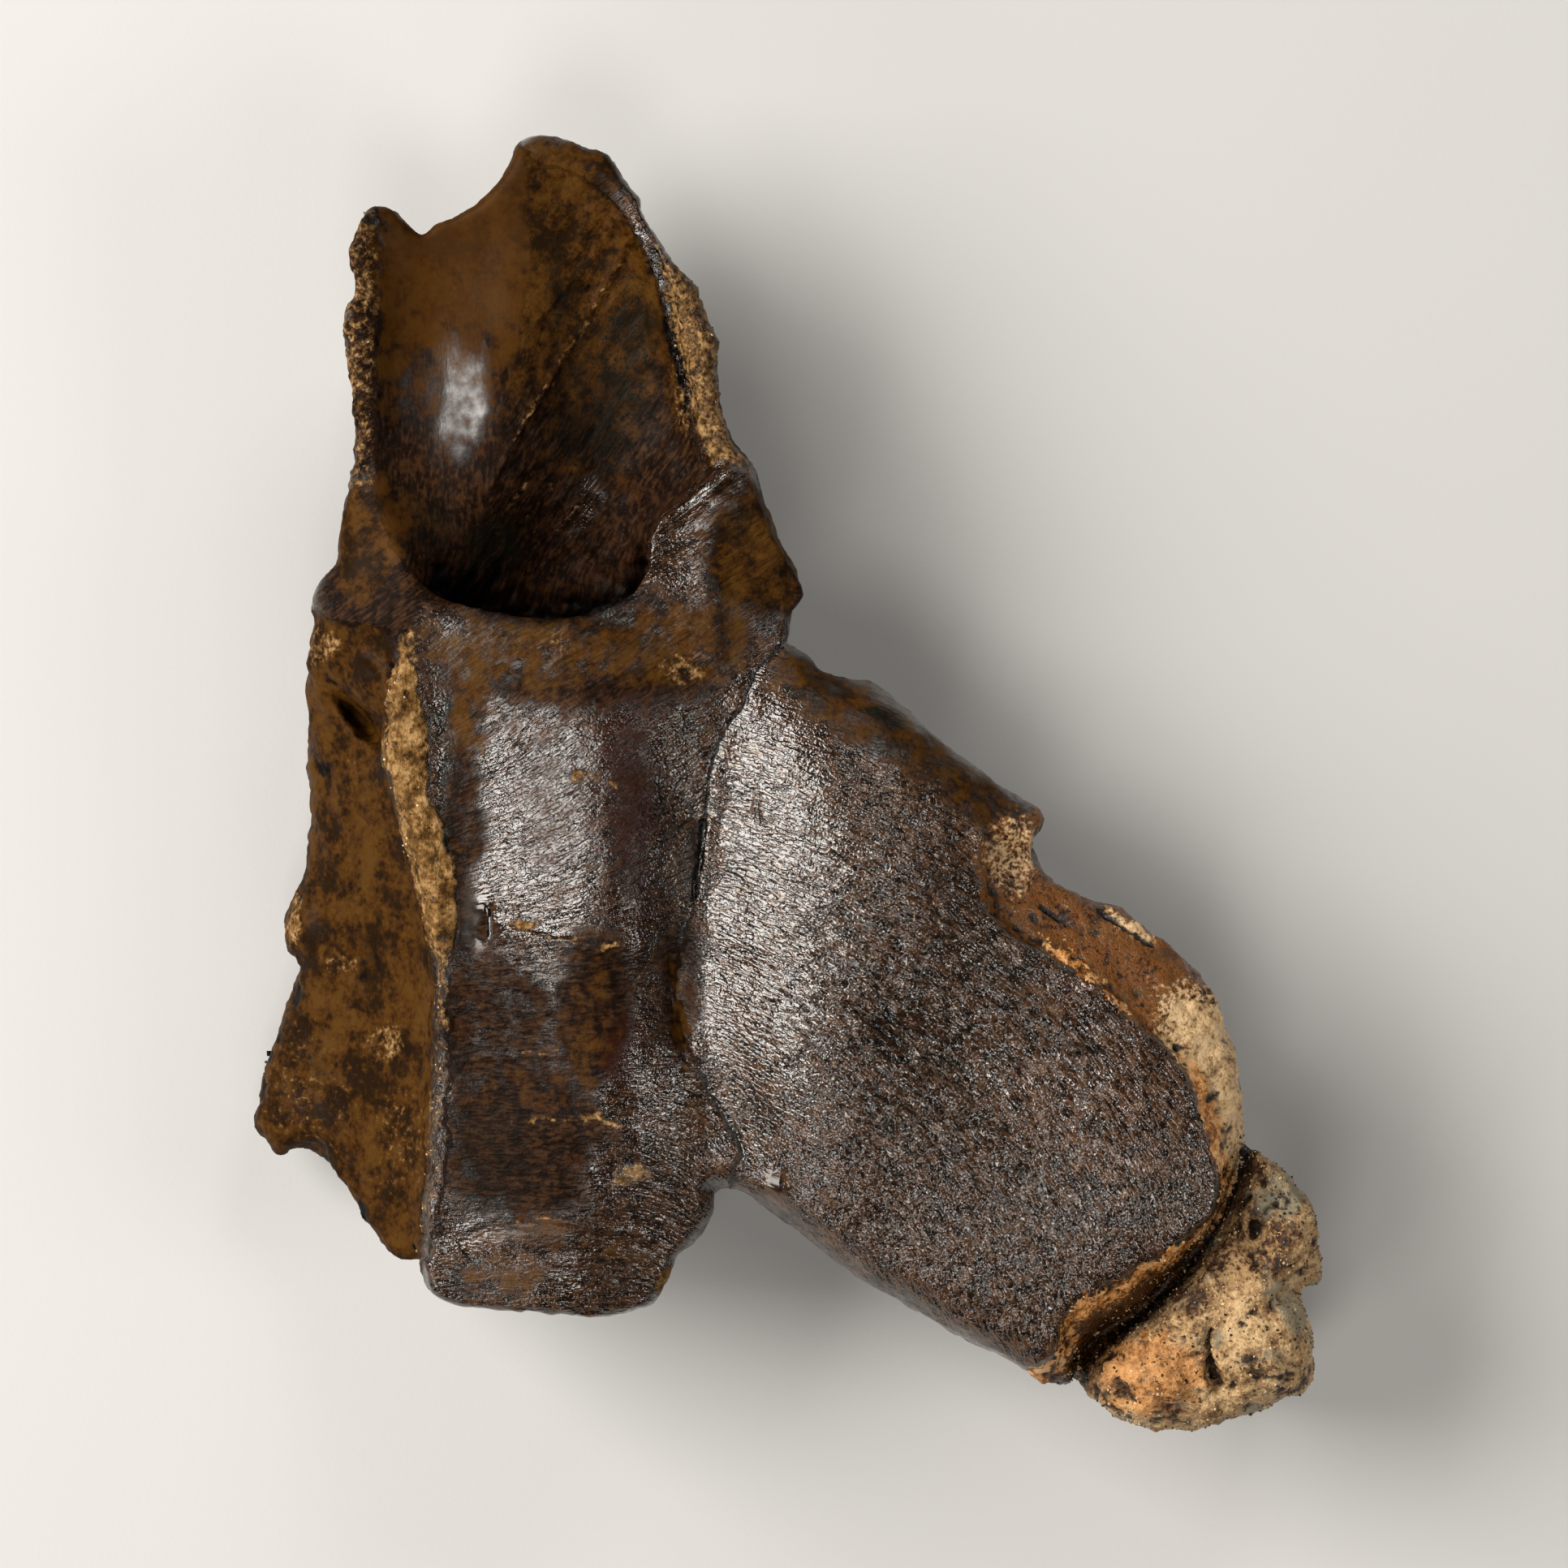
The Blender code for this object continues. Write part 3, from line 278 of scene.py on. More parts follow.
# Edge of the smooth left part of the cup, where the inner layer has broken away: y, x
CUP_STEP = (
    (17.0, 65.4), (25.0, 65.0), (33.0, 65.5), (40.0, 64.0), (46.0, 63.0), (52.0, 62.0), (60.0, 60.4),
    (70.0, 58.0),
)
# The ledge that overhangs the cup's deep end
LEDGE = (
    (56.4, 72.8), (59.0, 74.2), (62.0, 75.2), (66.0, 75.8), (70.0, 75.6), (74.0, 74.6), (77.0, 73.0),
)

# Cracks, scratches, wrinkles and raised lines: half width, height, and the points they run through
STROKES = (
    (0.20, -0.4, ((96.4, 79.6), (93.4, 82.6), (92.4, 85.0), (91.6, 87.4), (89.6, 89.6), (88.8, 91.4),
                  (88.2, 94.0), (87.4, 96.6), (87.2, 99.2), (87.0, 100.8))),
    (0.26, -0.8, ((86.8, 101.2), (86.6, 103.6), (86.3, 106.2), (86.0, 108.4), (85.8, 110.2))),
    (0.20, -0.2, ((85.8, 110.2), (85.2, 113.0), (84.0, 115.6), (83.6, 117.4))),
    (0.50, -0.28, ((83.4, 117.6), (83.1, 119.4), (83.0, 121.0), (83.2, 122.4))),
    (0.50, -0.3, ((83.2, 122.6), (83.5, 124.6), (84.3, 126.8), (84.7, 128.8), (84.7, 129.8))),
    (0.20, -0.15, ((84.7, 130.0), (86.4, 133.0), (88.6, 136.4), (90.4, 139.4), (91.8, 141.8))),
    (0.30, -0.3, ((89.8, 137.4), (91.0, 139.8), (91.8, 142.0), (92.6, 143.8))),
    (0.18, -0.9, ((60.4, 111.8), (60.6, 113.6), (60.4, 116.0))),
    (0.34, 0.28, ((60.4, 116.6), (63.0, 114.6), (66.0, 115.2), (70.0, 115.8), (74.0, 116.4),
                  (77.0, 116.4))),
    (0.30, 0.22, ((58.6, 130.6), (62.0, 129.9), (66.0, 129.8), (70.0, 130.2), (74.0, 131.4))),
    (0.32, 0.22, ((63.0, 139.6), (67.0, 138.0), (71.0, 137.4), (75.0, 138.2), (79.0, 139.4))),
    (0.34, 0.26, ((57.0, 151.8), (60.0, 150.6), (64.0, 149.8), (68.0, 150.0), (74.0, 151.2),
                  (79.0, 152.0))),
    (0.24, -0.15, ((64.0, 142.8), (66.6, 144.0), (69.4, 145.4), (72.0, 146.0))),
    (0.30, 0.5, ((78.4, 28.6), (75.6, 33.0), (72.6, 38.0), (70.0, 42.4), (67.0, 47.4), (64.4, 52.0),
                 (62.0, 56.4), (60.4, 59.6))),
    (0.26, 0.35, ((78.8, 29.0), (79.8, 33.0), (80.2, 38.0), (80.6, 43.0))),
    (0.24, 0.25, ((76.4, 26.6), (72.4, 32.0), (68.6, 36.0), (66.0, 39.6))),
    (0.50, -0.9, ((80.6, 30.6), (82.2, 35.6), (82.8, 40.6), (84.0, 46.0), (84.8, 50.0))),
    (0.34, 0.6, ((64.8, 73.0), (66.4, 74.4), (68.2, 75.2), (70.0, 74.6), (72.4, 73.6), (75.0, 72.4))),
    (0.30, -0.34, ((104.4, 123.8), (106.2, 124.6), (107.8, 126.0), (109.4, 127.2), (111.6, 128.0))),
    (0.30, -0.36, ((106.8, 127.8), (108.6, 128.8), (110.2, 130.0), (112.4, 130.4))),
    (0.28, -0.32, ((109.6, 124.6), (111.0, 126.0), (112.8, 127.2), (115.0, 128.0))),
    (0.26, -0.28, ((108.2, 122.4), (109.4, 124.4), (109.8, 126.6), (111.0, 128.8))),
    (0.24, -0.25, ((113.6, 126.0), (115.4, 127.6), (117.6, 128.8), (119.6, 130.6))),
    (0.34, 0.35, ((106.0, 125.8), (107.6, 127.0), (109.2, 128.6), (111.4, 129.4))),
    (0.16, -0.25, ((110.6, 114.6), (110.2, 117.4), (109.2, 120.4))),
    (0.16, -0.25, ((110.9, 114.8), (111.4, 117.8), (111.2, 120.8))),
    (0.16, -0.22, ((110.8, 115.2), (110.9, 118.8), (110.0, 121.6))),
    (0.30, -0.15, ((117.0, 123.4), (121.0, 126.6), (125.6, 130.6), (131.4, 134.8), (137.0, 138.6))),
    (0.22, -0.12, ((128.0, 135.0), (132.4, 139.0), (137.0, 142.6), (141.4, 146.8))),
    (0.22, -0.12, ((114.0, 134.0), (119.0, 137.6), (124.0, 142.0), (128.0, 147.0))),
    (0.26, -0.3, ((93.6, 98.4), (93.4, 100.0), (93.6, 101.2))),
    (0.22, -1.2, ((149.3, 163.8), (149.0, 166.0), (149.4, 168.6), (150.6, 170.8))),
    (0.50, 0.6, ((129.4, 116.4), (131.4, 117.9), (133.4, 119.8), (135.0, 121.8), (138.0, 124.0))),
    (0.22, -0.6, ((134.6, 122.6), (136.2, 123.4), (138.2, 125.0))),
    (0.24, -0.6, ((128.4, 111.6), (130.0, 112.8), (131.6, 113.8))),
    (0.26, -0.6, ((135.6, 112.0), (138.8, 114.4), (142.0, 116.4))),
    (0.45, 0.8, ((120.6, 102.6), (120.4, 105.4), (120.9, 108.6), (121.8, 111.4))),
    (0.45, 0.7, ((126.8, 102.2), (126.4, 104.6), (126.8, 107.0), (126.2, 109.2))),
    (0.60, 0.5, ((44.2, 80.8), (46.0, 81.4), (47.3, 83.0), (47.8, 85.2))),
    (0.40, -0.8, ((48.2, 82.4), (48.4, 85.0), (47.9, 87.2), (47.9, 90.0))),
)

# Patches of a colour or finish, each x, y, half length, half width, turn in degrees, and strength
PATCHES = {
    "ochre": (
        (66, 79.5, 14, 6, 0, 0.75), (84, 79, 11, 6, -8, 0.75), (93, 68, 6, 8, -20, 0.9),
        (57.6, 86, 7, 3, 90, 0.8), (104, 87, 11, 4.0, 35, 0.8), (113, 93, 10, 3.6, 35, 0.75),
        (121, 98.5, 8, 3.0, 35, 0.8), (124, 135, 16, 10, 42, 0.12), (83.3, 119.8, 2.2, 0.9, 84, 0.9),
        (84.0, 126.4, 3.2, 0.9, 76, 0.9), (53.5, 62, 5, 5, 0, 0.35), (45, 66, 8, 5, 90, 1.0),
        (54, 34, 8, 9, 0, 1.0), (70.5, 22, 8, 6, 0, 0.85), (73.6, 124.5, 3.4, 9, 6, 0.42),
        (65.5, 151.4, 6, 1.6, -8, 0.75), (62, 157, 9, 3.8, -6, 0.52), (77, 154, 5, 5, 0, 0.35),
        (68, 134, 10, 3, 0, 0.35), (100, 146, 5, 1.6, 40, 0.3), (72, 31, 6, 7, 0, 0.7),
        (74, 45, 8, 14, 0, 0.55), (130, 127, 9, 3, 45, 0.35),
    ),
    "red": (
        (77.6, 96, 12, 4.0, 90, 0.7), (78.6, 110, 9, 3.4, 90, 0.55), (77, 129, 2.4, 5, 20, 0.9),
        (70, 92, 5, 3, 0, 0.4), (112, 127, 5, 3, 20, 0.3), (67, 156, 6, 3, 0, 0.5),
    ),
    "warm": (
        (136, 134, 13, 10, 42, 0.9), (119, 103, 13, 4, 35, 0.8), (98, 152, 14, 4, 35, 0.4),
        (122, 160, 16, 6, 25, 0.4), (68, 86, 10, 4, 0, 0.6),
    ),
    "dull": (
        (65, 141, 11, 15, -8, 0.86), (61, 126, 9.5, 10, 0, 0.74), (62, 87, 8, 5, 0, 0.4),
        (73.5, 124, 5.5, 11, 6, 0.86), (70, 133.6, 9, 3, 0, 0.5), (78, 100, 3.4, 13, 0, 0.6),
        (57, 122, 3, 14, 0, 0.5), (57.5, 100, 2.6, 12, 0, 0.8), (72, 80, 20, 8, 0, 1.0),
        (84, 121, 3.0, 9, 0, 0.6), (71, 97, 9, 16, 0, 0.38), (46, 71, 8, 10, 0, 1.0),
        (95, 68, 9, 9, 0, 1.0), (45, 40, 3, 24, 0, 0.9),
    ),
    "pebbly": (
        (122, 124, 26, 22, 40, 1.0), (62, 122, 7, 10, 0, 1.0), (62, 90, 8, 6, 0, 0.7),
        (86, 92, 3, 12, 0, 0.6), (80, 150, 10, 8, 0, 0.5), (118, 150, 22, 8, 40, 0.7),
        (74, 79, 18, 6, 0, 0.9), (90, 68, 6, 8, 0, 0.8),
    ),
    "gloss": (
        (58.6, 51.6, 1.1, 4.2, 0, 0.6), (55.5, 49, 6.5, 8, 0, 0.42), (71, 62, 4.4, 3.0, -50, 0.7),
        (84.5, 60.5, 4.4, 2.0, -40, 0.75), (72, 79, 16, 5, 0, 0.35), (66, 152, 10, 4, 0, 0.2),
        (77.5, 136, 3, 3, 0, 0.6), (82, 147, 9, 4, 20, 0.8), (104, 90, 11, 3, 35, 0.15),
        (113, 96, 10, 3, 35, 0.15), (121, 101.5, 8, 3, 35, 0.15),
    ),
    "ledge": (
        (131.6, 117.8, 3.8, 0.5, 42, 1.0), (136.2, 122.2, 4.2, 0.5, 46, 1.0),
        (134.0, 118.6, 4.0, 0.3, 44, 0.8),
    ),
    # Patches where the lump's crust is darker
    "darker_crust": (
        (153.5, 151.0, 5.6, 7.6, 15, 1.0), (147, 160.5, 3.0, 2.0, -45, 0.7),
        (160, 153, 1.6, 2.6, 0, 0.5),
    ),
    "pits": (
        (83.2, 119.8, 1.4, 3.0, 0, 1.0), (84.1, 126.4, 1.6, 4.0, -8, 1.0),
    ),
    "tan": (
        (125.0, 105.0, 4.0, 5.4, 0, 0.6), (64.9, 113.4, 2.0, 0.8, 0, 1.0),
        (75.6, 116.4, 1.8, 0.5, 14, 0.85), (69.0, 115.6, 5.0, 0.25, 6, 0.65),
        (71.4, 95.8, 1.6, 0.7, 0, 0.8), (75.6, 96.6, 3.0, 0.45, 12, 0.7),
        (124.6, 104.6, 2.0, 3.4, 0, 0.5), (139.4, 114.2, 3.4, 0.9, 34, 0.9),
        (65.4, 129.9, 6.0, 0.22, 0, 0.55), (68.0, 138.0, 6.0, 0.3, -2, 0.7),
        (74.4, 138.0, 3.6, 0.4, 12, 0.75), (78.0, 144.6, 2.2, 1.1, -8, 1.0),
        (85.0, 131.6, 0.8, 0.6, 0, 0.9), (82.0, 158.4, 0.9, 2.4, 20, 0.9),
        (66.0, 150.4, 6.0, 0.3, -4, 0.6), (69.4, 79.6, 2.0, 1.2, 40, 0.6),
        (84.2, 82.4, 3.0, 1.6, 0, 0.55), (39.4, 79.6, 2.2, 2.2, 0, 0.6),
        (70.4, 42.4, 15, 0.35, -60, 0.6), (63.4, 61, 4, 0.3, -60, 0.55), (66.6, 60.4, 4, 0.3, -62, 0.5),
        (70.2, 62.6, 5, 0.3, -62, 0.5), (50.6, 79.0, 0.9, 2.2, 0, 0.8),
        (47.2, 128.8, 3.0, 2.4, 20, 0.55), (37.0, 135.0, 7.0, 8.0, 0, 0.3),
        (49.0, 141.0, 5.0, 7.0, 0, 0.3), (83.4, 40.0, 1.6, 8.0, 0, 0.35), (85.4, 50.0, 2.4, 4.0, 0, 0.5),
        (35.2, 113.6, 1.2, 3.6, 10, 0.7), (43.0, 96.0, 1.4, 3.0, 0, 0.3),
        (92.0, 145.2, 1.6, 0.5, 30, 0.6), (95.9, 63.6, 1.0, 3.0, -20, 0.4),
        (41.6, 118.8, 2.2, 1.6, 0, 0.5),
    ),
    "stain": (
        (54.8, 88.0, 0.9, 4.0, 0, 1.0), (54.9, 95.5, 0.9, 5.0, 4, 0.95), (55.6, 103.0, 0.7, 3.0, 8, 0.8),
        (57.3, 131.5, 1.4, 3.4, 0, 0.6), (61, 143, 6.5, 9, 0, 0.5), (66, 124, 4, 5, 0, 0.35),
        (109, 88.4, 3.2, 1.8, 30, 0.85), (103, 85, 2.4, 1.2, 30, 0.5), (62.6, 78.6, 2.6, 1.2, 0, 0.6),
        (45.0, 117.6, 1.2, 2.4, 0, 0.5), (76.4, 46, 4.6, 14.0, 12, 0.65), (71, 50, 3.6, 10, 20, 0.5),
        (57.6, 114, 2.2, 5.4, 8, 0.6), (53, 65, 3.4, 3.6, 0, 0.6), (61, 67, 4, 4, 0, 0.7),
        (68.4, 36, 1.4, 7.0, 0, 0.6), (70, 56, 4.0, 5.0, 0, 0.45), (91.0, 65.0, 3.0, 4.0, 0, 0.5),
        (38.6, 132.0, 1.6, 2.0, 0, 0.4), (98.4, 148.0, 4.0, 0.8, 45, 0.6),
        (46.6, 27.0, 2.4, 0.9, 20, 0.8),
    ),
}

# Tint of every gloss: the highlights of the photograph are a little warm
WARM_GLOSS = (1.0, 0.95, 0.89, 1.0)

# Large primes that put the corners of the noise's grid in no order
CORNER_PRIMES = (374761393, 668265263, 2147483647)
SEED_PRIME = 982451653
MIXING_PRIME = 1274126177

# Order of the materials in the bone's slots
SHELL, SPONGY, CRUST, SHELTERED = range(4)

# Soft studio lights: name, place and width in metres, and power in watts. All point at one place
LIGHTS = (
    ("key", (-0.66, 0.20, 0.64), 0.60, 18),
    ("top", (-0.10, -0.42, 1.20), 0.36, 4.6),
    ("back", (0.24, 0.66, 0.62), 0.30, 2.3),
    ("low", (-0.53, -0.59, 0.42), 0.30, 2.3),
    ("fill", (0.70, -0.22, 0.60), 0.30, 2.8),
)
LIT_POINT = (0, 0, 0.03)
SURROUNDINGS_STRENGTH = 0.16
# The floor reaches this far each way, and lies just under the feet
FLOOR_HALF = 3.0
FLOOR_HEIGHT = -0.0002
# The photograph is 193.2 mm wide at the height of the bone's upper side
VIEW_WIDTH = 0.1932
UPPER_SIDE = 0.036
# A long lens, in millimetres, shows next to no perspective
LENS = 200
SENSOR_WIDTH = 36


def hexed(code):
    """An sRGB hex colour as linear red, green, blue and alpha."""
    found = []
    for i in (0, 2, 4):
        c = int(code[i:i + 2], 16) / 255
        found.append(c / 12.92 if c <= 0.04045 else ((c + 0.055) / 1.055) ** 2.4)
    return (*found, 1.0)


def colour(name, code, description):
    """A colour that the user can change."""
    return FloatVectorProperty(
        name=name, description=description, subtype="COLOR", size=4, min=0, max=1, default=hexed(code)
    )


class FossilShape(bpy.types.PropertyGroup):
    """Sizes of the bone's surface."""

    cell: FloatProperty(
        name="Sheet cell", description="Spacing of the points that shape the bone, in mm",
        default=0.62, min=0.4, max=2.0,
    )
    skin_voxel: FloatProperty(
        name="Skin voxel", description="Grid on which the two sides are joined into one skin",
        default=0.37 * MM, min=0.2 * MM, max=2 * MM, unit="LENGTH", precision=5,
    )
    most_faces: IntProperty(
        name="Most triangles", description="Triangles left in the bone's skin", default=186000,
        min=20000, max=198000,
    )
    roughness: FloatProperty(
        name="Break roughness", description="How strongly the broken surfaces stand out", default=1.0,
        min=0, max=2,
    )
    crumb_size: FloatProperty(
        name="Crumb size", description="Width of a grain of sandy matrix", default=0.55 * MM,
        min=0.1 * MM, max=2 * MM, unit="LENGTH", precision=5,
    )
    crumb_density: FloatProperty(
        name="Crumbs per square metre", description="Grains on a wholly broken surface",
        default=900000, min=0, max=4000000,
    )
    seed: IntProperty(name="Seed", description="Seed of the grains' places", default=7, min=0)


class FossilColours(bpy.types.PropertyGroup):
    """Colours of the bone, of its floor and of the soft light all round."""

    shell_dark: colour("Shell, dark", "0d0704", "Dense shell between its fibres")
    shell_mid: colour("Shell, mid", "190d07", "Dense shell on its fibres")
    shell_light: colour("Shell, light", "2c1c0e", "Worn tops of the shell's fibres")
    shell_warm: colour("Shell, warm", "301b0b", "Iron-tinted shell of the wing's far side")
    # Rubbed fibre tops of the wing's far side, made lighter also as painted sheen
    rubbed_sheen: colour("Shell, rubbed", "4d3521", "Rubbed fibre tops of the wing's far side")
    shell_red: colour("Shell, red", "200b05", "Iron-stained shell of the column")
    ochre_dark: colour("Ochre, dark", "180c02", "Pores and grime of the iron-stained flank and cup")
    ochre: colour("Ochre", "341d05", "Iron-stained flank and cup")
    ochre_light: colour("Ochre, light", "40280a", "Worn high spots of the flank")
    tan_dark: colour("Tan, dark", "241406", "Hollows of the worn crest and rims")
    tan: colour("Tan", "5e4220", "Worn crest and rims")
    sand: colour("Sand", "94734a", "Limy sand on the lump and in the spongy bone")
    stain: colour("Stain", "0c0c07", "Green-black mineral stain")
    orange: colour("Orange", "653809", "Iron-stained break")
    # Darkest tone of the broken band; on the crust it is also the painted shade of pits and sunk places
    break_dark: colour("Break, dark", "1a0c06", "Depths of the broken band")
    cream: colour("Cream", "b8996f", "Crust of the lump, and bare spongy bone")
    lime: colour("Lime", "77715c", "Olive-grey lime in patches on the lump")
    crust_brown: colour("Crust, brown", "4c2f18", "Depths of the lump's crust")
    rust: colour("Rust", "b87a3c", "Chipped edge of the shell and the ledge beside it")
    # Painted shade inside pores, cracks, sunk places and the groove
    pore_shade: colour("Pore", "040202", "Inside of pores and cracks")
    floor: colour("Floor", "a8a5a0", "Pale plain floor")
    surroundings: colour("Surroundings", "8e8c89", "Soft light from all round")


def flowing(points, step, closed):
    """A smooth curve through given points, as points about one step apart."""
    points = np.array(points, float)
    count = len(points)
    spans = range(count if closed else count - 1)
    found = []
    for i in spans:
        if closed:
            a, b, c, d = (points[(i + k) % count] for k in (-1, 0, 1, 2))
        else:
            a, b, c, d = (points[min(max(i + k, 0), count - 1)] for k in (-1, 0, 1, 2))
        parts = max(1, int(round(np.linalg.norm(c - b) / step)))
        t = np.arange(parts)[:, None] / parts
        found.append(
            0.5 * (2 * b + (c - a) * t + (2 * a - 5 * b + 4 * c - d) * t**2
                   + (3 * b - a - 3 * c + d) * t**3)
        )
    if not closed:
        found.append(points[-1:])
    return np.concatenate(found)


def distance_to(x, y, curve, closed):
    """How far each point of the sheet is from a curve."""
    ends = np.roll(curve, -1, axis=0) if closed else curve[1:]
    starts = curve if closed else curve[:-1]
    nearest = np.full(x.shape, np.inf)
    for (ax, ay), (bx, by) in zip(starts, ends):
        dx, dy = bx - ax, by - ay
        t = np.clip(((x - ax) * dx + (y - ay) * dy) / max(dx * dx + dy * dy, 1e-9), 0, 1)
        nearest = np.minimum(nearest, (x - ax - t * dx) ** 2 + (y - ay - t * dy) ** 2)
    return np.sqrt(nearest)


def depth_inside(x, y, ring):
    """How far inside a closed curve each point is, and below zero outside it."""
    inside = np.zeros(x.shape, bool)
    for (ax, ay), (bx, by) in zip(ring, np.roll(ring, -1, axis=0)):
        if ay != by:
            crosses = (ay > y) != (by > y)
            inside ^= crosses & (x < (bx - ax) * (y - ay) / (by - ay) + ax)
    return np.where(inside, 1, -1) * distance_to(x, y, ring, closed=True)


def ease(t):
    """A smooth step from 0 to 1."""
    t = np.clip(t, 0, 1)
    return t * t * (3 - 2 * t)


def plate(marks, x, y):
    """Height of a thin bent plate that passes through every mark."""
    marks = np.array(marks, float)

    def bend(distance):
        return distance**2 * np.log(distance + 1e-9)

    count = len(marks)
    pairs = np.hypot(marks[:, None, 0] - marks[None, :, 0], marks[:, None, 1] - marks[None, :, 1])
    flat = np.column_stack([np.ones(count), marks[:, :2]])
    system = np.zeros((count + 3, count + 3))
    system[:count, :count] = bend(pairs)
    system[:count, count:] = flat
    system[count:, :count] = flat.T
    weights = np.linalg.solve(system, np.append(marks[:, 2], [0, 0, 0]))
    height = weights[count] + weights[count + 1] * x + weights[count + 2] * y
    for (mx, my, _), weight in zip(marks, weights):
        height = height + weight * bend(np.hypot(x - mx, y - my))
    return height


def scattered(corner, seed):
    """A number from -1 to 1 for each corner of a grid, given as its places along each axis."""
    n = sum(place * prime for place, prime in zip(corner, CORNER_PRIMES)) + seed * SEED_PRIME
    n = (n ^ (n >> 13)) * MIXING_PRIME
    return ((n ^ (n >> 16)) & 0xFFFF) / 32767.5 - 1


def ripple(x, y, size, seed):
    """Smooth seeded noise from -1 to 1 with lumps of about one size, on the sheet."""
    u, v = x / size, y / size
    i, j = np.floor(u).astype(np.int64), np.floor(v).astype(np.int64)
    s, t = ease(u - i), ease(v - j)
    low = scattered((i, j), seed) * (1 - s) + scattered((i + 1, j), seed) * s
    high = scattered((i, j + 1), seed) * (1 - s) + scattered((i + 1, j + 1), seed) * s
    return low * (1 - t) + high * t


def lumpy(points, size, seed):
    """Smooth seeded noise from -1 to 1 in space. points and size are in millimetres."""
    cells = points / size
    base = np.floor(cells).astype(np.int64)
    part = ease(cells - base)
    total = np.zeros(len(points))
    for corner in range(8):
        step = np.array([corner & 1, corner >> 1 & 1, corner >> 2])
        share = np.prod(np.where(step == 1, part, 1 - part), axis=1)
        total += scattered((base + step).T, seed) * share
    return total


def fractal(points, size, seed, octaves=3):
    """Seeded noise in space with finer and weaker noise on top of it."""
    return sum(lumpy(points, size / 2**k, seed + k) / 2**k for k in range(octaves)) / 1.6


def bell(distance, width):
    """A soft hump of height 1 that fades with the distance."""
    return np.exp(-((distance / width) ** 2))


def oval(x, y, cx, cy, half_x, half_y):
    """1 on an upright oval, less inside it and more outside."""
    return np.hypot((x - cx) / half_x, (y - cy) / half_y)


def turned(x, y, cx, cy, along, over, turn):
    """Place of each point along and across a turned oval, 1 on its edge."""
    c, s = np.cos(np.radians(turn)), np.sin(np.radians(turn))
    return ((x - cx) * c + (y - cy) * s) / along, ((y - cy) * c - (x - cx) * s) / over


def lumps_of(x, y):
    """The bumps and pits of the upper side, added up."""
    total = np.zeros(x.shape)
    for *place, height in LUMPS:
        u, v = turned(x, y, *place)
        total += height * np.exp(-(u * u + v * v))
    return total


def inside_ring(x, y, points):
    """How far inside a ring of given points each point is."""
    return depth_inside(x, y, flowing(points, 2.0, closed=True))


def from_line(x, y, points, step=2.0):
    """How far from an open line of given points each point is."""
    return distance_to(x, y, flowing(points, step, closed=False), closed=False)


def across(table, y, column=1):
    """Sideways place of a listed line at each y of the sheet."""
    table = np.array(table)
    return np.interp(y, table[:, 0], table[:, column])


def upper_side(x, y, depth):
    """Height of the upper side. depth is how far in from the outline each point is."""
    cup_depth = inside_ring(x, y, CUP_RING) + 0.25 * ripple(x, y, 2.2, 3)
    crest_depth = inside_ring(x, y, CREST_RING) + 0.3 * ripple(x, y, 2.0, 4)
    break_depth = inside_ring(x, y, BREAK_RING) + 0.4 * ripple(x, y, 1.8, 9)
    facet_depth = inside_ring(x, y, FACET_RING)
    cup_end = 77.5 + 0.35 * np.maximum(x - 70, 0) + 3.0 * ease((54 - x) / 6)
    lip = 0.3 + 2.2 * np.maximum(ease((66 - y) / 8), ease((58 - x) / 5))
    broken = 0.45 * ripple(x, y, 3.2, 5), 0.3 * ripple(x, y, 1.7, 6)
    gritty = 0.9 * ripple(x, y, 4.2, 7), 0.5 * ripple(x, y, 2.1, 8)
    height = plate(CORTEX_MARKS, x, y)
    for marks, rough, weight in (
        (RIM_MARKS, (), ease((cup_end - y) / 3.0) * ease((90.5 - x) / 3.0)),
        (FLANK_MARKS, (), ease(0.5 + crest_depth / 2.0)),
        (CUP_MARKS, (), ease(0.5 + cup_depth / (2 * lip))),
        (BREAK_MARKS, broken, ease(0.5 + break_depth / 1.0)),
        (FACET_MARKS, gritty, ease(0.5 + facet_depth / 2.2)),
    ):
        height = height + (sum(rough, plate(marks, x, y)) - height) * weight
    # The groove, the fold and the crest: how deep or high, and how wide, in millimetres
    height = height - 9.0 * bell(from_line(x, y, GROOVE), 1.5) * ease((break_depth + 1) / 1.5)
    height = height + 1.8 * bell(from_line(x, y, FOLD, 1.0), 1.2)
    height = height + 0.9 * bell(from_line(x, y, CREST), 2.5)
    height = height + lumps_of(x, y)
    roll = np.maximum(plate(ROLL_MARKS, x, y), 0.6)
    over = 1 - np.clip(depth / roll, 0, 1)
    return height - roll * (1 - np.sqrt(1 - over * over))


def underside(x, y, depth, top):
    """Height of the underside: the arch between the pedicels, and the thin plate of the wing."""
    height = plate(UNDER_MARKS, x, y)
    for foot in (LEFT_PEDICEL, RIGHT_PEDICEL, FACET_FOOT):
        inside = inside_ring(x, y, foot) + 0.5 * ripple(x, y, 5.0, 11)
        height = height - height * ease(1 + inside / 4.0)
    height = np.maximum(height, 0)
    over = 1 - np.clip(depth / EDGE_ROLL, 0, 1)
    height = height + EDGE_ROLL * (1 - np.sqrt(1 - over * over))
    return np.minimum(height, top - EDGE_THICKNESS - 0.45 * np.minimum(depth, 10))


def row_inside(edge, step):
    """The points of the outline moved inwards by a step, without those that come too near it."""
    along = np.roll(edge, -1, axis=0) - np.roll(edge, 1, axis=0)
    along /= np.linalg.norm(along, axis=1)[:, None]
    row = edge + step * np.column_stack([-along[:, 1], along[:, 0]])
    return row[depth_inside(row[:, 0], row[:, 1], edge) > 0.93 * step]


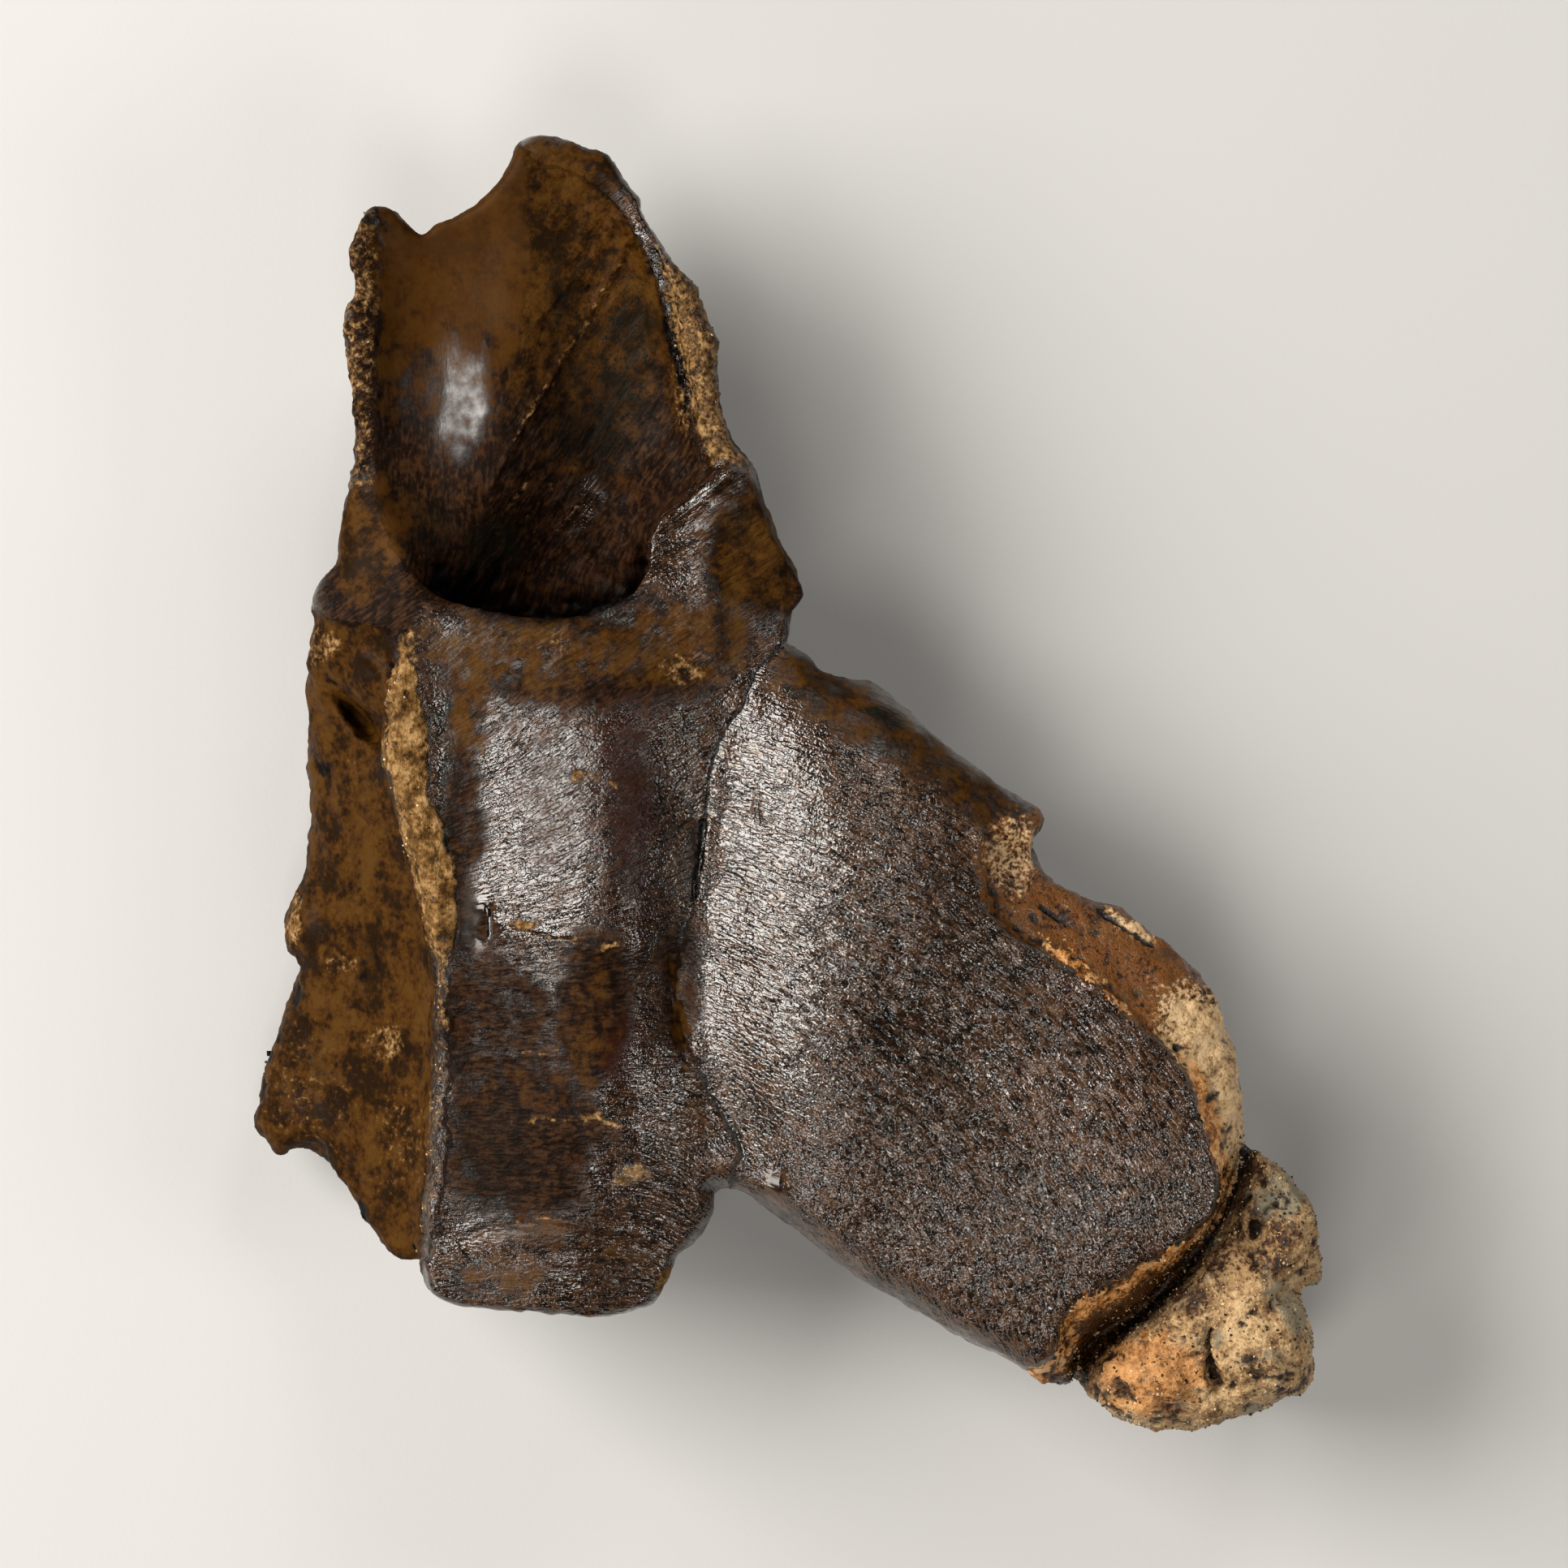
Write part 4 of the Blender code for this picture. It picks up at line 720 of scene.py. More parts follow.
def drawn_back(x, y, z):
    """How far the walls under the cup's ledge and under the wing's end are drawn back, on the sheet."""
    cx, cy = CUP_CENTRE
    pull = 2.4 * bell(from_line(x, y, LEDGE), 3.6) * ease((34.5 - z) / 7)
    slide = 1.8 * bell(from_line(x, y, GROOVE, 3.0), 3.4) * ease((27 - z) / 9)
    out = np.hypot(x - cx, y - cy) + 1e-6
    return pull * (x - cx) / out - 0.62 * slide, pull * (y - cy) / out - 0.78 * slide


def to_world(x, y, z):
    """Points of the sheet, with their heights, in the world's metres."""
    return np.column_stack([(x - SHEET_CENTRE[0]) * MM, (SHEET_CENTRE[1] - y) * MM, z * MM])


def to_sheet(points):
    """Place on the sheet and height, in millimetres, of points of the world."""
    return points[:, 0] / MM + SHEET_CENTRE[0], SHEET_CENTRE[1] - points[:, 1] / MM, points[:, 2] / MM


def rough_bone(cell):
    """The closed skin of the bone: an upper and a lower sheet over the plan, joined at its edge."""
    edge = flowing(OUTLINE, cell, closed=True)
    low, high = edge.min(axis=0), edge.max(axis=0)
    # A grid of equal triangles fills the inside
    gx, gy = np.meshgrid(np.arange(low[0], high[0], cell), np.arange(low[1], high[1], cell * TRIANGLE_HEIGHT))
    gx[1::2] += cell / 2
    gx, gy = gx.ravel(), gy.ravel()
    inner = depth_inside(gx, gy, edge) > EDGE_ROWS[-1] + 0.6 * cell
    rows = [row_inside(edge, step) for step in EDGE_ROWS]
    points = np.concatenate([edge, *rows, np.column_stack([gx[inner], gy[inner]])])
    flat, _, faces, _, _, _ = delaunay_2d_cdt(
        [Vector(p) for p in points], [], [list(range(len(edge)))], INSIDE_ONLY, MERGE_WITHIN
    )
    x, y = np.array([tuple(p) for p in flat]).T
    count = len(x)
    depth = np.where(np.arange(count) < len(edge), 0, depth_inside(x, y, edge))
    top = upper_side(x, y, depth)
    bottom = underside(x, y, depth, top)
    faces = np.array([tuple(f) for f in faces])
    a, b, c = (np.column_stack([x, y])[faces[:, k]] for k in range(3))
    # The sheet's y runs down, so a face that goes round this way looks down in the world
    backward = (b - a)[:, 0] * (c - a)[:, 1] - (b - a)[:, 1] * (c - a)[:, 0] > 0
    faces[backward] = faces[backward][:, ::-1]
    sides = []
    for height in (top, bottom):
        dx, dy = drawn_back(x, y, height)
        sides.append(to_world(x + dx, y + dy, height))
    ring = np.arange(len(edge))
    after = np.roll(ring, -1)
    walls = np.column_stack([ring, after, after + count, ring + count])
    mesh = bpy.data.meshes.new("rough bone")
    mesh.from_pydata(
        np.concatenate(sides).tolist(), [],
        faces.tolist() + (faces[:, ::-1] + count).tolist() + walls.tolist(),
    )
    return mesh


def added(name, data):
    """A new object, linked to the scene."""
    item = bpy.data.objects.new(name, data)
    bpy.context.scene.collection.objects.link(item)
    return item


def made_plain(carrier):
    """What a carrier's modifiers make of its mesh, as a plain mesh. The carrier goes."""
    bpy.context.view_layer.update()
    found = bpy.data.meshes.new_from_object(
        carrier.evaluated_get(bpy.context.evaluated_depsgraph_get())
    )
    mesh = carrier.data
    bpy.data.objects.remove(carrier)
    bpy.data.meshes.remove(mesh)
    return found


def through(mesh, kind, **settings):
    """The mesh after one modifier, as a new plain mesh."""
    carrier = added("carrier", mesh)
    modifier = carrier.modifiers.new(kind, kind)
    for key, value in settings.items():
        setattr(modifier, key, value)
    return made_plain(carrier)


def points_of(mesh):
    """The places of a mesh's points, one row each."""
    points = np.empty(len(mesh.vertices) * 3)
    mesh.vertices.foreach_get("co", points)
    return points.reshape(-1, 3)


def normals_of(mesh):
    """The normals of a mesh's points, one row each."""
    normals = np.empty(len(mesh.vertices) * 3)
    mesh.vertex_normals.foreach_get("vector", normals)
    return normals.reshape(-1, 3)


def patches(name, x, y):
    """How strongly each point lies in the patches of one colour."""
    wx = x + 0.7 * ripple(x, y, 2.4, 51) + 0.3 * ripple(x, y, 1.1, 52)
    wy = y + 0.7 * ripple(x, y, 2.4, 53) + 0.3 * ripple(x, y, 1.1, 54)
    total = np.zeros(x.shape)
    for *place, weight in PATCHES[name]:
        total = np.maximum(total, weight * ease(1.5 - np.hypot(*turned(wx, wy, *place))))
    return total


def zones(points):
    """What each point of the skin is: weights from 0 to 1 for every kind of surface, its place on the
    sheet, its height, and how far inside the outline it is."""
    wx, wy, z = to_sheet(points)
    dx, dy = drawn_back(wx, wy, z)
    x, y = wx - dx, wy - dy
    edge = flowing(OUTLINE, 2.0, closed=True)
    depth = np.maximum(depth_inside(x, y, edge), 0)
    top = upper_side(x, y, depth)
    up = ease((z - top + 3.2 + 0.6 * depth) / 2.0)
    wiggle = 0.5 * ripple(x, y, 1.8, 9) + 0.25 * ripple(x, y, 0.8, 10)
    cup = inside_ring(x, y, CUP_RING)
    broken = inside_ring(x, y, BREAK_RING) + wiggle
    facet = inside_ring(x, y, FACET_RING) + 0.4 * wiggle
    flank = inside_ring(x, y, CREST_RING)
    left, right = across(CREST_BAND, y), across(CREST_BAND, y, 2)
    crest = ease((x - left + wiggle) / 0.9 + 0.5) * ease((right - x + wiggle) / 0.9 + 0.5)
    crest = crest * ease((y - 76.5) / 2) * ease((157 - y) / 3)
    rim = ease((-cup + wiggle) / 1.0)
    right_rim = rim * ease((60 - y) / 4) * ease((x - 76) / 4) * ease((y - 24) / 12)
    left_rim = rim * ease((62 - y) / 3) * ease((50 - x) / 2)
    groove, ledge = from_line(x, y, GROOVE), from_line(x, y, LEDGE)
    past_step = ease(0.5 + (x - across(CUP_STEP, y) + wiggle) / 1.2)
    # Bare smooth places of the column and of the wing's foot
    smooth = np.maximum(
        ease(1.5 - oval(x, y, 58.6, 113.4, 3.0, 4.6)) * up, ease(1.5 - oval(x, y, 95.6, 146.4, 1.8, 3.4)) * up
    )
    w = {
        "up": up,
        "under": 1 - up,
        "cup": ease(0.5 + cup / 0.8) * up,
        "cup_rough": ease(0.5 + cup / 0.8) * past_step * up,
        "break": ease(0.5 + broken / 0.5) * up,
        "facet": ease(0.5 + facet / 0.8),
        "flank": ease(0.5 + flank / 1.6) * ease((y - 56) / 6) * up,
        "crest": crest * up,
        "rim": np.maximum(right_rim, left_rim) * up,
        "left_rim": left_rim * up,
        "chip": bell(broken - 1.0, 1.3) * up,
        # The groove before the lump: painted as its shadow, and a place where grains gather
        "shaded_depths": bell(groove, 1.5) * (broken > -0.5),
        # The hollow under the cup's ledge is carved deeper and darkened with painted shade; lip is a band
        # along the ledge that only gets painted shade
        "shaded_hollow": ease((cup + 0.6) / 1.2) * bell(np.maximum(ledge - 2.0, 0), 2.4) * up,
        "lip": bell(ledge, 2.4) * up,
        "smooth": smooth,
    }
    return w, x, y, z, depth


def fibre_run(w, x, y):
    """Place along and across the bone's fibres, in millimetres, for patterns that follow them."""
    rise = 0.62 * ease((126 - y) / 36)
    over = y + rise * (x - 66) - 0.035 * np.maximum(x - 77, 0) ** 2 * ease((y - 132) / 12)
    wing = x > across(VALLEY_SIDE, y)
    cx, cy = FIBRE_CENTRE
    along = np.where(wing, np.arctan2(x - cx, cy - y) * 85, x)
    over = np.where(wing, -np.hypot(x - cx, cy - y), over)
    steep = w["cup_rough"] > 0.5
    along = np.where(w["cup"] > 0.5, y, along)
    over = np.where(w["cup"] > 0.5, x, over)
    along = np.where(steep, -0.53 * x + 0.85 * y, along)
    over = np.where(steep, 0.85 * x + 0.53 * y, over)
    flank = (w["flank"] > 0.5) | (w["crest"] > 0.5)
    return np.where(flank, y, along), np.where(flank, x, over)


def strokes_of(x, y):
    """Depth and height of the cracks, scratches and raised lines."""
    total = np.zeros(x.shape)
    for number, (half, height, points) in enumerate(STROKES):
        curve = flowing(points, 1.0, closed=False)
        low, high = curve.min(axis=0) - 4 * half, curve.max(axis=0) + 4 * half
        near = (x > low[0]) & (x < high[0]) & (y > low[1]) & (y < high[1])
        if near.any():
            nx = x[near] + 0.16 * ripple(x[near], y[near], 0.9, 30 + number)
            ny = y[near] + 0.16 * ripple(x[near], y[near], 0.9, 60 + number)
            d = distance_to(nx, ny, curve, closed=False)
            total[near] += height * bell(d, half * 1.25)
    return total


def bands_of(x, y):
    """The scale-like bands that cross the column: each one ends in a low ledge."""
    nowhere = np.zeros(x.shape)
    over = fibre_run(dict.fromkeys(("cup", "cup_rough", "flank", "crest"), nowhere), x, y)[1]
    phase = (over + 1.1 * ripple(x, y, 5.0, 41) + 0.5 * ripple(x, y, 2.0, 42)) / 2.1
    saw = phase - np.floor(phase)
    column = ease((x - 56.5) / 3) * ease((across(VALLEY_SIDE, y) - 5 - x) / 4)
    return (saw - 0.5) * column * (0.10 + 0.16 * ease(1 - abs(y - 122) / 12) + 0.05 * ease((y - 140) / 8))


def carved(points, normals, strength):
    """How far each point of the skin stands out or in along its normal, in millimetres."""
    w, x, y, z, depth = zones(points)
    place = np.column_stack([x, y, z])
    # Lumps 0.6, 1, 2.2 and 5 mm across, and ribs along the fibres
    tiny = lumpy(place, 0.62, 70)
    fine = fractal(place, 1.0, 71, octaves=2)
    mid = fractal(place, 2.2, 72)
    wide = fractal(place, 5.0, 73)
    along, over = fibre_run(w, x, y)
    ribs = fractal(np.column_stack([along / 5.0, over, 0 * z]), 0.9, 74, octaves=2)
    shell = w["up"] * (1 - np.maximum(w["break"], np.maximum(w["facet"], w["flank"])))
    below = w["under"] * (1 - w["facet"])
    side = ease((0.7 - abs(normals[:, 2])) / 0.3) * (1 - w["facet"])
    pits = ease((lumpy(place, 1.3, 75) - 0.42) / 0.35) + 0.6 * ease((lumpy(place, 0.8, 76) - 0.45) / 0.35)
    pitted = ease(1.5 - oval(x, y, 154.4, 150.5, 5.0, 6.5)) + 0.25
    out = 0.05 * mid + 0.05 * wide
    out += 0.05 * ribs * shell + 0.16 * ribs * w["cup_rough"]
    out += shell * bands_of(x, y) * (1 - w["cup"]) * (1 - w["smooth"])
    out += 0.07 * fine * patches("ochre", x, y) * shell
    out += strokes_of(x, y) * w["up"]
    # Each kind of surface has its own share of wide, middling, fine and tiny lumps
    out += w["flank"] * (0.22 * wide + 0.18 * mid + 0.06 * fine)
    out += w["crest"] * (0.25 * wide + 0.40 * mid + 0.26 * fine + 0.10 * tiny)
    out += w["rim"] * (0.40 * wide + 0.40 * mid + 0.22 * fine + 0.08 * tiny)
    out += w["break"] * (1 - w["facet"]) * (0.15 * wide + 0.22 * mid + 0.26 * fine + 0.12 * tiny)
    out += w["facet"] * (0.42 * wide + 0.45 * mid + 0.32 * fine + 0.16 * tiny - 0.8 * pits * pitted)
    out += w["chip"] * 0.3 * fine
    out += w["cup_rough"] * (0.16 * mid + 0.08 * fine)
    out -= w["shaded_hollow"] * (1.2 - 1.1 * fine - 0.5 * mid)
    out += side * (0.25 * wide + 0.22 * mid + 0.12 * fine) * (depth < 4)
    out += below * (0.35 * wide + 0.15 * mid)
    # The broken bases of the feet are eaten away in places
    out -= below * ease((0.4 - z) / 0.4) * (0.3 + 0.5 * abs(mid) + 0.25 * abs(fine)) * (mid > -0.1)
    # The fine relief that the painted shade of sunk points is read from; the carved hollow under the ledge is
    # left out of it
    small = out - 0.05 * wide + 1.2 * w["shaded_hollow"]
    return strength * out, small


def with_values(mesh, name, kind, values):
    """Stores numbers or vectors for every point of a mesh."""
    layer = mesh.attributes.new(name, kind, "POINT")
    key = {"FLOAT": "value", "FLOAT_VECTOR": "vector"}[kind]
    layer.data.foreach_set(key, np.ascontiguousarray(values, np.float32).ravel())


def add_node(tree, kind, links=(), out=0, marks=(), **settings):
    """Adds a node and gives back one of its outputs. Links give its inputs a socket or a value,
    settings its own properties, and marks the places and colours of its ramp."""
    node = tree.nodes.new(kind)
    for key, value in settings.items():
        setattr(node, key, value)
    for key, value in dict(links).items():
        if isinstance(value, bpy.types.NodeSocket):
            tree.links.new(value, node.inputs[key])
        elif value is not None:
            node.inputs[key].default_value = value
    for i, (place, shade) in enumerate(marks):
        element = node.color_ramp.elements[i] if i < 2 else node.color_ramp.elements.new(place)
        element.position, element.color = place, shade
    return node.outputs[out] if len(node.outputs) else None


def spread(tree, shares, low, high, to_low=0.0, to_high=1.0):
    """Patterns summed by their shares, then spread from one range to another with soft ends."""
    total = 0.0
    for pattern, share in shares:
        total = add_node(tree, "ShaderNodeMath", {0: pattern, 1: share, 2: total}, operation="MULTIPLY_ADD")
    return add_node(
        tree, "ShaderNodeMapRange",
        {"Value": total, "From Min": low, "From Max": high, "To Min": to_low, "To Max": to_high},
        interpolation_type="SMOOTHSTEP",
    )


def toned(tree, shares, low, high, marks):
    """Colours that follow a spread sum of patterns."""
    return add_node(tree, "ShaderNodeValToRGB", {"Fac": spread(tree, shares, low, high)}, marks=marks)


def ragged(tree, weight, pattern, low=0.35, high=0.65, push=2.0):
    """A mask whose soft border is broken up by a pattern."""
    return spread(tree, ((weight, 1.0), (pattern, push)), low + push / 2, high + push / 2)


def new_material(name, masks, sizes):
    """An empty material with what it is mixed from: the masks stored on the mesh, and patterns,
    each given by the width of its lumps in millimetres, its detail and its roughness."""
    material = bpy.data.materials.new(name)
    material.use_nodes = True
    tree = material.node_tree
    tree.nodes.clear()
    place = add_node(tree, "ShaderNodeTexCoord", out="Object")
    stored = [add_node(tree, "ShaderNodeAttribute", out="Fac", attribute_name=mask) for mask in masks]
    patterns = [
        add_node(
            tree, "ShaderNodeTexNoise",
            {"Vector": place, "Scale": 1 / (width * MM), "Detail": detail, "Roughness": roughness},
        ) for width, detail, roughness in sizes
    ]
    return material, tree, stored, patterns


def finished(tree, colours, reliefs, roughness, ior, shine=0.5):
    """Lays colours over one another by their masks and reliefs on one another, each of a height in
    millimetres, and gives them a shader and an output."""
    colour, relief = None, None
    for over, factor in colours:
        colour = over if factor is None else add_node(
            tree, "ShaderNodeMix", {0: factor, 6: colour, 7: over}, out=2, data_type="RGBA"
        )
    for height, weight, millimetres in reliefs:
        if weight is not None:
            height = add_node(tree, "ShaderNodeMath", {0: height, 1: weight}, operation="MULTIPLY")
        relief = add_node(
            tree, "ShaderNodeBump",
            {"Height": height, "Strength": 1.0, "Distance": millimetres * MM, "Normal": relief},
        )
    shader = add_node(
        tree, "ShaderNodeBsdfPrincipled",
        {"Base Color": colour, "Roughness": roughness, "Normal": relief, "IOR": ior,
         "Specular IOR Level": shine, "Specular Tint": WARM_GLOSS},
    )
    add_node(tree, "ShaderNodeOutputMaterial", {"Surface": shader})


def polished_bone(c, name, worn_matt):
    """Dense bone turned to mineral: dark brown fibres under ochre, tan and black stains, with painted shade
    in its cracks and sunk places and painted sheen on the wing's rubbed fibre tops.
    """
    material, tree, masks, patterns = new_material(
        name, ("warm", "red", "even", "ochre", "recess_shade", "tan", "stain", "matt", "smooth", "pebbly"),
        ((7.0, 5.0, 0.62), (2.4, 4.0, 0.6), (0.8, 3.0, 0.65), (0.42, 1.0, 0.55), (3.0, 0.0, 0.55)),
    )
    warm, red, even, ochre, recess_shade, tan, stain, matt, smooth, pebbly = masks
    mottle, patch, specks, grit, swell = patterns
    fibre = add_node(tree, "ShaderNodeAttribute", out="Vector", attribute_name="fibre")
    # Fibre bundles are about 1 mm long and 0.35 mm wide, drawn a quarter wider so that they show.
    # Flat flakes are 0.45 mm wide and twice as long, and the wing's weathering cracks long and thin
    long, wide, drawn = (
        add_node(tree, "ShaderNodeVectorMath", {0: fibre, 1: (1 / times, 1, 1)}, operation="MULTIPLY")
        for times in (3.2, 2, 7)
    )
    bundles = add_node(
        tree, "ShaderNodeTexNoise",
        {"Vector": long, "Scale": 1 / (0.46 * MM), "Detail": 1.0, "Roughness": 0.55, "Distortion": 0.5},
    )
    # Each flake has its own tilt, so that they glint one by one
    flake = add_node(
        tree, "ShaderNodeTexVoronoi", {"Vector": wide, "Scale": 1 / (0.5 * MM), "Randomness": 1.0},
        out="Position",
    )
    offset = add_node(tree, "ShaderNodeVectorMath", {0: wide, 1: flake}, operation="SUBTRACT")
    tilt = add_node(
        tree, "ShaderNodeVectorMath", {0: flake.node.outputs["Color"], 1: (0.5, 0.5, 0.5)},
        operation="SUBTRACT",
    )
    flakes = add_node(
        tree, "ShaderNodeVectorMath", {0: offset, 1: tilt}, out="Value", operation="DOT_PRODUCT"
    )
    flakes = add_node(tree, "ShaderNodeMath", {0: flakes, 1: 1 / MM}, operation="MULTIPLY")
    tone = (bundles, 0.5), (specks, 0.4), (patch, 0.5)
    shell = toned(tree, tone, 0.56, 0.86, ((0.0, c.shell_dark), (0.5, c.shell_mid), (1.0, c.shell_light)))
    # The iron-tinted shell; its lightest fibre tops are partly painted sheen
    iron_and_sheen = toned(tree, tone, 0.56, 0.86, ((0.0, c.shell_dark), (0.4, c.shell_warm), (1.0, c.rubbed_sheen)))
    # Ochre: granular iron stain over the shell
    earth = toned(
        tree, ((mottle, 1.0), (specks, 0.6), (patch, 0.7)), 0.97, 1.37,
        ((0.0, c.ochre_dark), (0.45, c.ochre), (1.0, c.ochre_light)),
    )
    even = add_node(tree, "ShaderNodeMath", {0: even, 1: 0.7}, operation="MULTIPLY")
    earth = add_node(tree, "ShaderNodeMix", {0: even, 6: earth, 7: c.ochre}, out=2, data_type="RGBA")
    # Tan: bare worn bone of the crest and rims, with grime in its hollows
    worn = toned(
        tree, ((specks, 0.7), (patch, 1.2)), 0.62, 1.28, ((0.0, c.tan_dark), (0.5, c.tan), (1.0, c.sand))
    )
    tan = ragged(tree, tan, specks, 0.35, 0.85, 1.6)
    split = add_node(
        tree, "ShaderNodeTexNoise",
        {"Vector": drawn, "Scale": 1 / (1.1 * MM), "Detail": 1.0, "Roughness": 0.55},
    )
    split = add_node(tree, "ShaderNodeMath", {0: split, 1: 0.5}, operation="SUBTRACT")
    split = add_node(tree, "ShaderNodeMath", {0: split}, operation="ABSOLUTE")
    split = spread(tree, ((split, 1.0),), 0.035, 0.0, 0.0, 0.6)
    split = add_node(tree, "ShaderNodeMath", {0: split, 1: pebbly}, operation="MULTIPLY")
    # Polished where it was handled, matt where stained or sheltered
    wear = (matt, 1.0), (patch, 0.8)
    rough = spread(tree, wear, 0.5, 1.25, 0.08, 0.42)
    rough = add_node(tree, "ShaderNodeMath", {0: specks, 1: 0.08, 2: rough}, operation="MULTIPLY_ADD")
    # Flat fibre tops between steep narrow furrows and pits: the tops shine, the walls glint
    fibrous = add_node(tree, "ShaderNodeMath", {0: 1.0, 1: smooth}, operation="SUBTRACT")
    furrows, pits = (
        add_node(
            tree, "ShaderNodeMath", {0: spread(tree, ((pattern, 1.0),), low, high), 1: 0.3, 2: pattern},
            operation="MULTIPLY_ADD",
        ) for pattern, low, high in ((bundles, 0.38, 0.6), (grit, 0.34, 0.5))
    )
    finished(
        tree,
        (
            (shell, None),
            (c.shell_red, spread(tree, ((patch, 1.0),), 0.5, 0.66, 0.0, 0.5)),
            (iron_and_sheen, warm),
            (c.shell_red, ragged(tree, red, specks, 0.3, 0.9)),
            (earth, ragged(tree, ochre, patch, 0.2, 0.95)),
            # Painted shade in sunk places, under the cup's ledge and on the broken band's south wall
            (c.pore_shade, ragged(tree, recess_shade, specks, 0.3, 0.9, 1.0)),
            (worn, tan),
            (c.stain, ragged(tree, stain, specks, 0.3, 1.0)),
            # Painted shade inside the wing's weathering cracks, which have no relief
            (c.pore_shade, split),
        ),
        (
            (swell, fibrous, 0.22), (flakes, pebbly, 0.85), (furrows, fibrous, 0.11), (pits, fibrous, 0.07),
            (specks, tan, 0.2),
        ),
        rough, 1.5, 0.03 if worn_matt else spread(tree, wear, 0.5, 1.25, 0.66, 0.03),
    )
    return material


def spongy_bone(c):
    """Broken spongy bone, its cells filled and stained with iron: orange-brown, granular, half glossy, with
    painted shade in its open cells and sunk places.
    """
    material, tree, masks, patterns = new_material(
        "iron_stained_spongy_bone", ("pale", "chip", "recess_shade", "cells"),
        ((3.5, 5.0, 0.62), (0.7, 3.0, 0.7), (0.38, 1.5, 0.55)),
    )
    pale, chip, recess_shade, cells = masks
    patch, specks, grit = patterns
    # Cells of spongy bone are 0.8 to 1 mm across
    place = add_node(tree, "ShaderNodeTexCoord", out="Object")
    walls = add_node(
        tree, "ShaderNodeTexVoronoi", {"Vector": place, "Scale": 1 / (0.95 * MM), "Randomness": 1.0},
        out="Distance", feature="SMOOTH_F1",
    )
    holes = spread(tree, ((walls, 1.0),), 0.42, 0.22)
    tone = (specks, 1.0), (patch, 0.8)
    finished(
        tree,
        (
            (toned(tree, tone, 0.68, 1.12, ((0.0, c.break_dark), (0.45, c.orange), (1.0, c.ochre_light))),
             None),
            (toned(tree, tone, 0.62, 1.0, ((0.0, c.crust_brown), (0.45, c.sand), (1.0, c.cream))),
             ragged(tree, pale, specks, 0.3, 0.7)),
            (toned(tree, tone, 0.75, 1.15, ((0.0, c.orange), (0.4, c.rust), (1.0, c.cream))),
             ragged(tree, chip, specks, 0.4, 0.7, 2.5)),
            # Painted shade in sunk places
            (c.pore_shade, ragged(tree, recess_shade, specks, 0.3, 1.0, 1.2)),
            # Painted shade inside the open cells
            (c.pore_shade, add_node(tree, "ShaderNodeMath", {0: cells, 1: holes}, operation="MULTIPLY")),
        ),
        ((specks, None, 0.3), (grit, None, 0.12)),
        spread(tree, ((specks, 1.0),), 0.3, 0.7, 0.16, 0.45), 1.45, 0.35,
    )
    return material


def sandy_crust(c):
    """Weathered facet under a crust of limy sand: cream to tan and gritty, with painted shade in its pits and
    painted shadow in its groove.
    """
    material, tree, masks, patterns = new_material(
        "limy_sand_crust", ("darker_crust", "rusty", "recess_shade", "shaded_depths"),
        ((4.5, 5.0, 0.65), (0.9, 4.0, 0.7), (0.4, 1.5, 0.55), (2.0, 3.0, 0.6), (6.0, 4.0, 0.55)),
    )
    darker_crust, rusty, recess_shade, shaded_depths = masks
    patch, specks, grit, blots, bloom = patterns
    tone = (patch, 1.0), (grit, 0.3), (specks, 0.8)
    pale_rust = add_node(tree, "ShaderNodeMix", {0: 0.25, 6: c.rust, 7: c.cream}, out=2, data_type="RGBA")
    rust = add_node(
        tree, "ShaderNodeMix", {0: spread(tree, tone, 0.75, 1.2), 6: c.orange, 7: pale_rust}, out=2,
        data_type="RGBA",
    )
    finished(
        tree,
        (
            (toned(tree, tone, 0.82, 1.28, ((0.0, c.crust_brown), (0.45, c.sand), (1.0, c.cream))), None),
            (toned(tree, tone, 0.84, 1.2, ((0.0, c.break_dark), (0.5, c.crust_brown), (1.0, c.sand))),
             # Darker crust in patches
             ragged(tree, darker_crust, blots, 0.1, 0.7, 1.5)),
            (c.lime, spread(tree, ((bloom, 1.0),), 0.5, 0.64, 0.0, 0.75)),
            (rust, ragged(tree, rusty, blots, 0.3, 0.8)),
            # Painted shade in the crust's pits and sunk places
            (c.break_dark, ragged(tree, recess_shade, specks, 0.45, 1.1, 1.2)),
            # Painted shadow in the groove before the lump
            (c.pore_shade, ragged(tree, shaded_depths, specks, 0.3, 0.8)),
        ),
        ((specks, None, 0.6), (grit, None, 0.2)),
        spread(tree, ((specks, 1.0),), 0.3, 0.7, 0.38, 0.62), 1.45, 0.3,
    )
    return material


def loose_grain(c):
    """Quartz and lime grains caught in the breaks: tan to brown, each a little different."""
    material, tree, _, patterns = new_material("matrix_grains", (), ((1.6, 1.0, 0.55), (0.3, 3.0, 0.55)))
    tint, grit = patterns
    marks = (0.35, c.break_dark), (0.5, c.ochre_light), (0.62, c.cream)
    shade = add_node(tree, "ShaderNodeValToRGB", {"Fac": tint}, marks=marks)
    finished(tree, ((shade, None),), ((grit, None, 0.05),), 0.25, 1.5)
    return material


def skin_of_bone(shape):
    """The bone's carved skin, with its zones stored on its points."""
    skin = through(
        rough_bone(shape.cell), "REMESH", mode="VOXEL", voxel_size=shape.skin_voxel, use_smooth_shade=True
    )
    points, normals = points_of(skin), normals_of(skin)
    out, small = carved(points, normals, shape.roughness)
    points = points + normals * out[:, None] * MM
    skin.vertices.foreach_set("co", points.ravel())
    # Painted shade: points sunk below the fine relief are darkened by how deep they lie
    with_values(skin, "depth_shade", "FLOAT", ease(-small / 0.35))
    skin.update()
    faces = sum(len(p.vertices) - 2 for p in skin.polygons)
    return through(skin, "DECIMATE", ratio=min(1.0, shape.most_faces / faces))


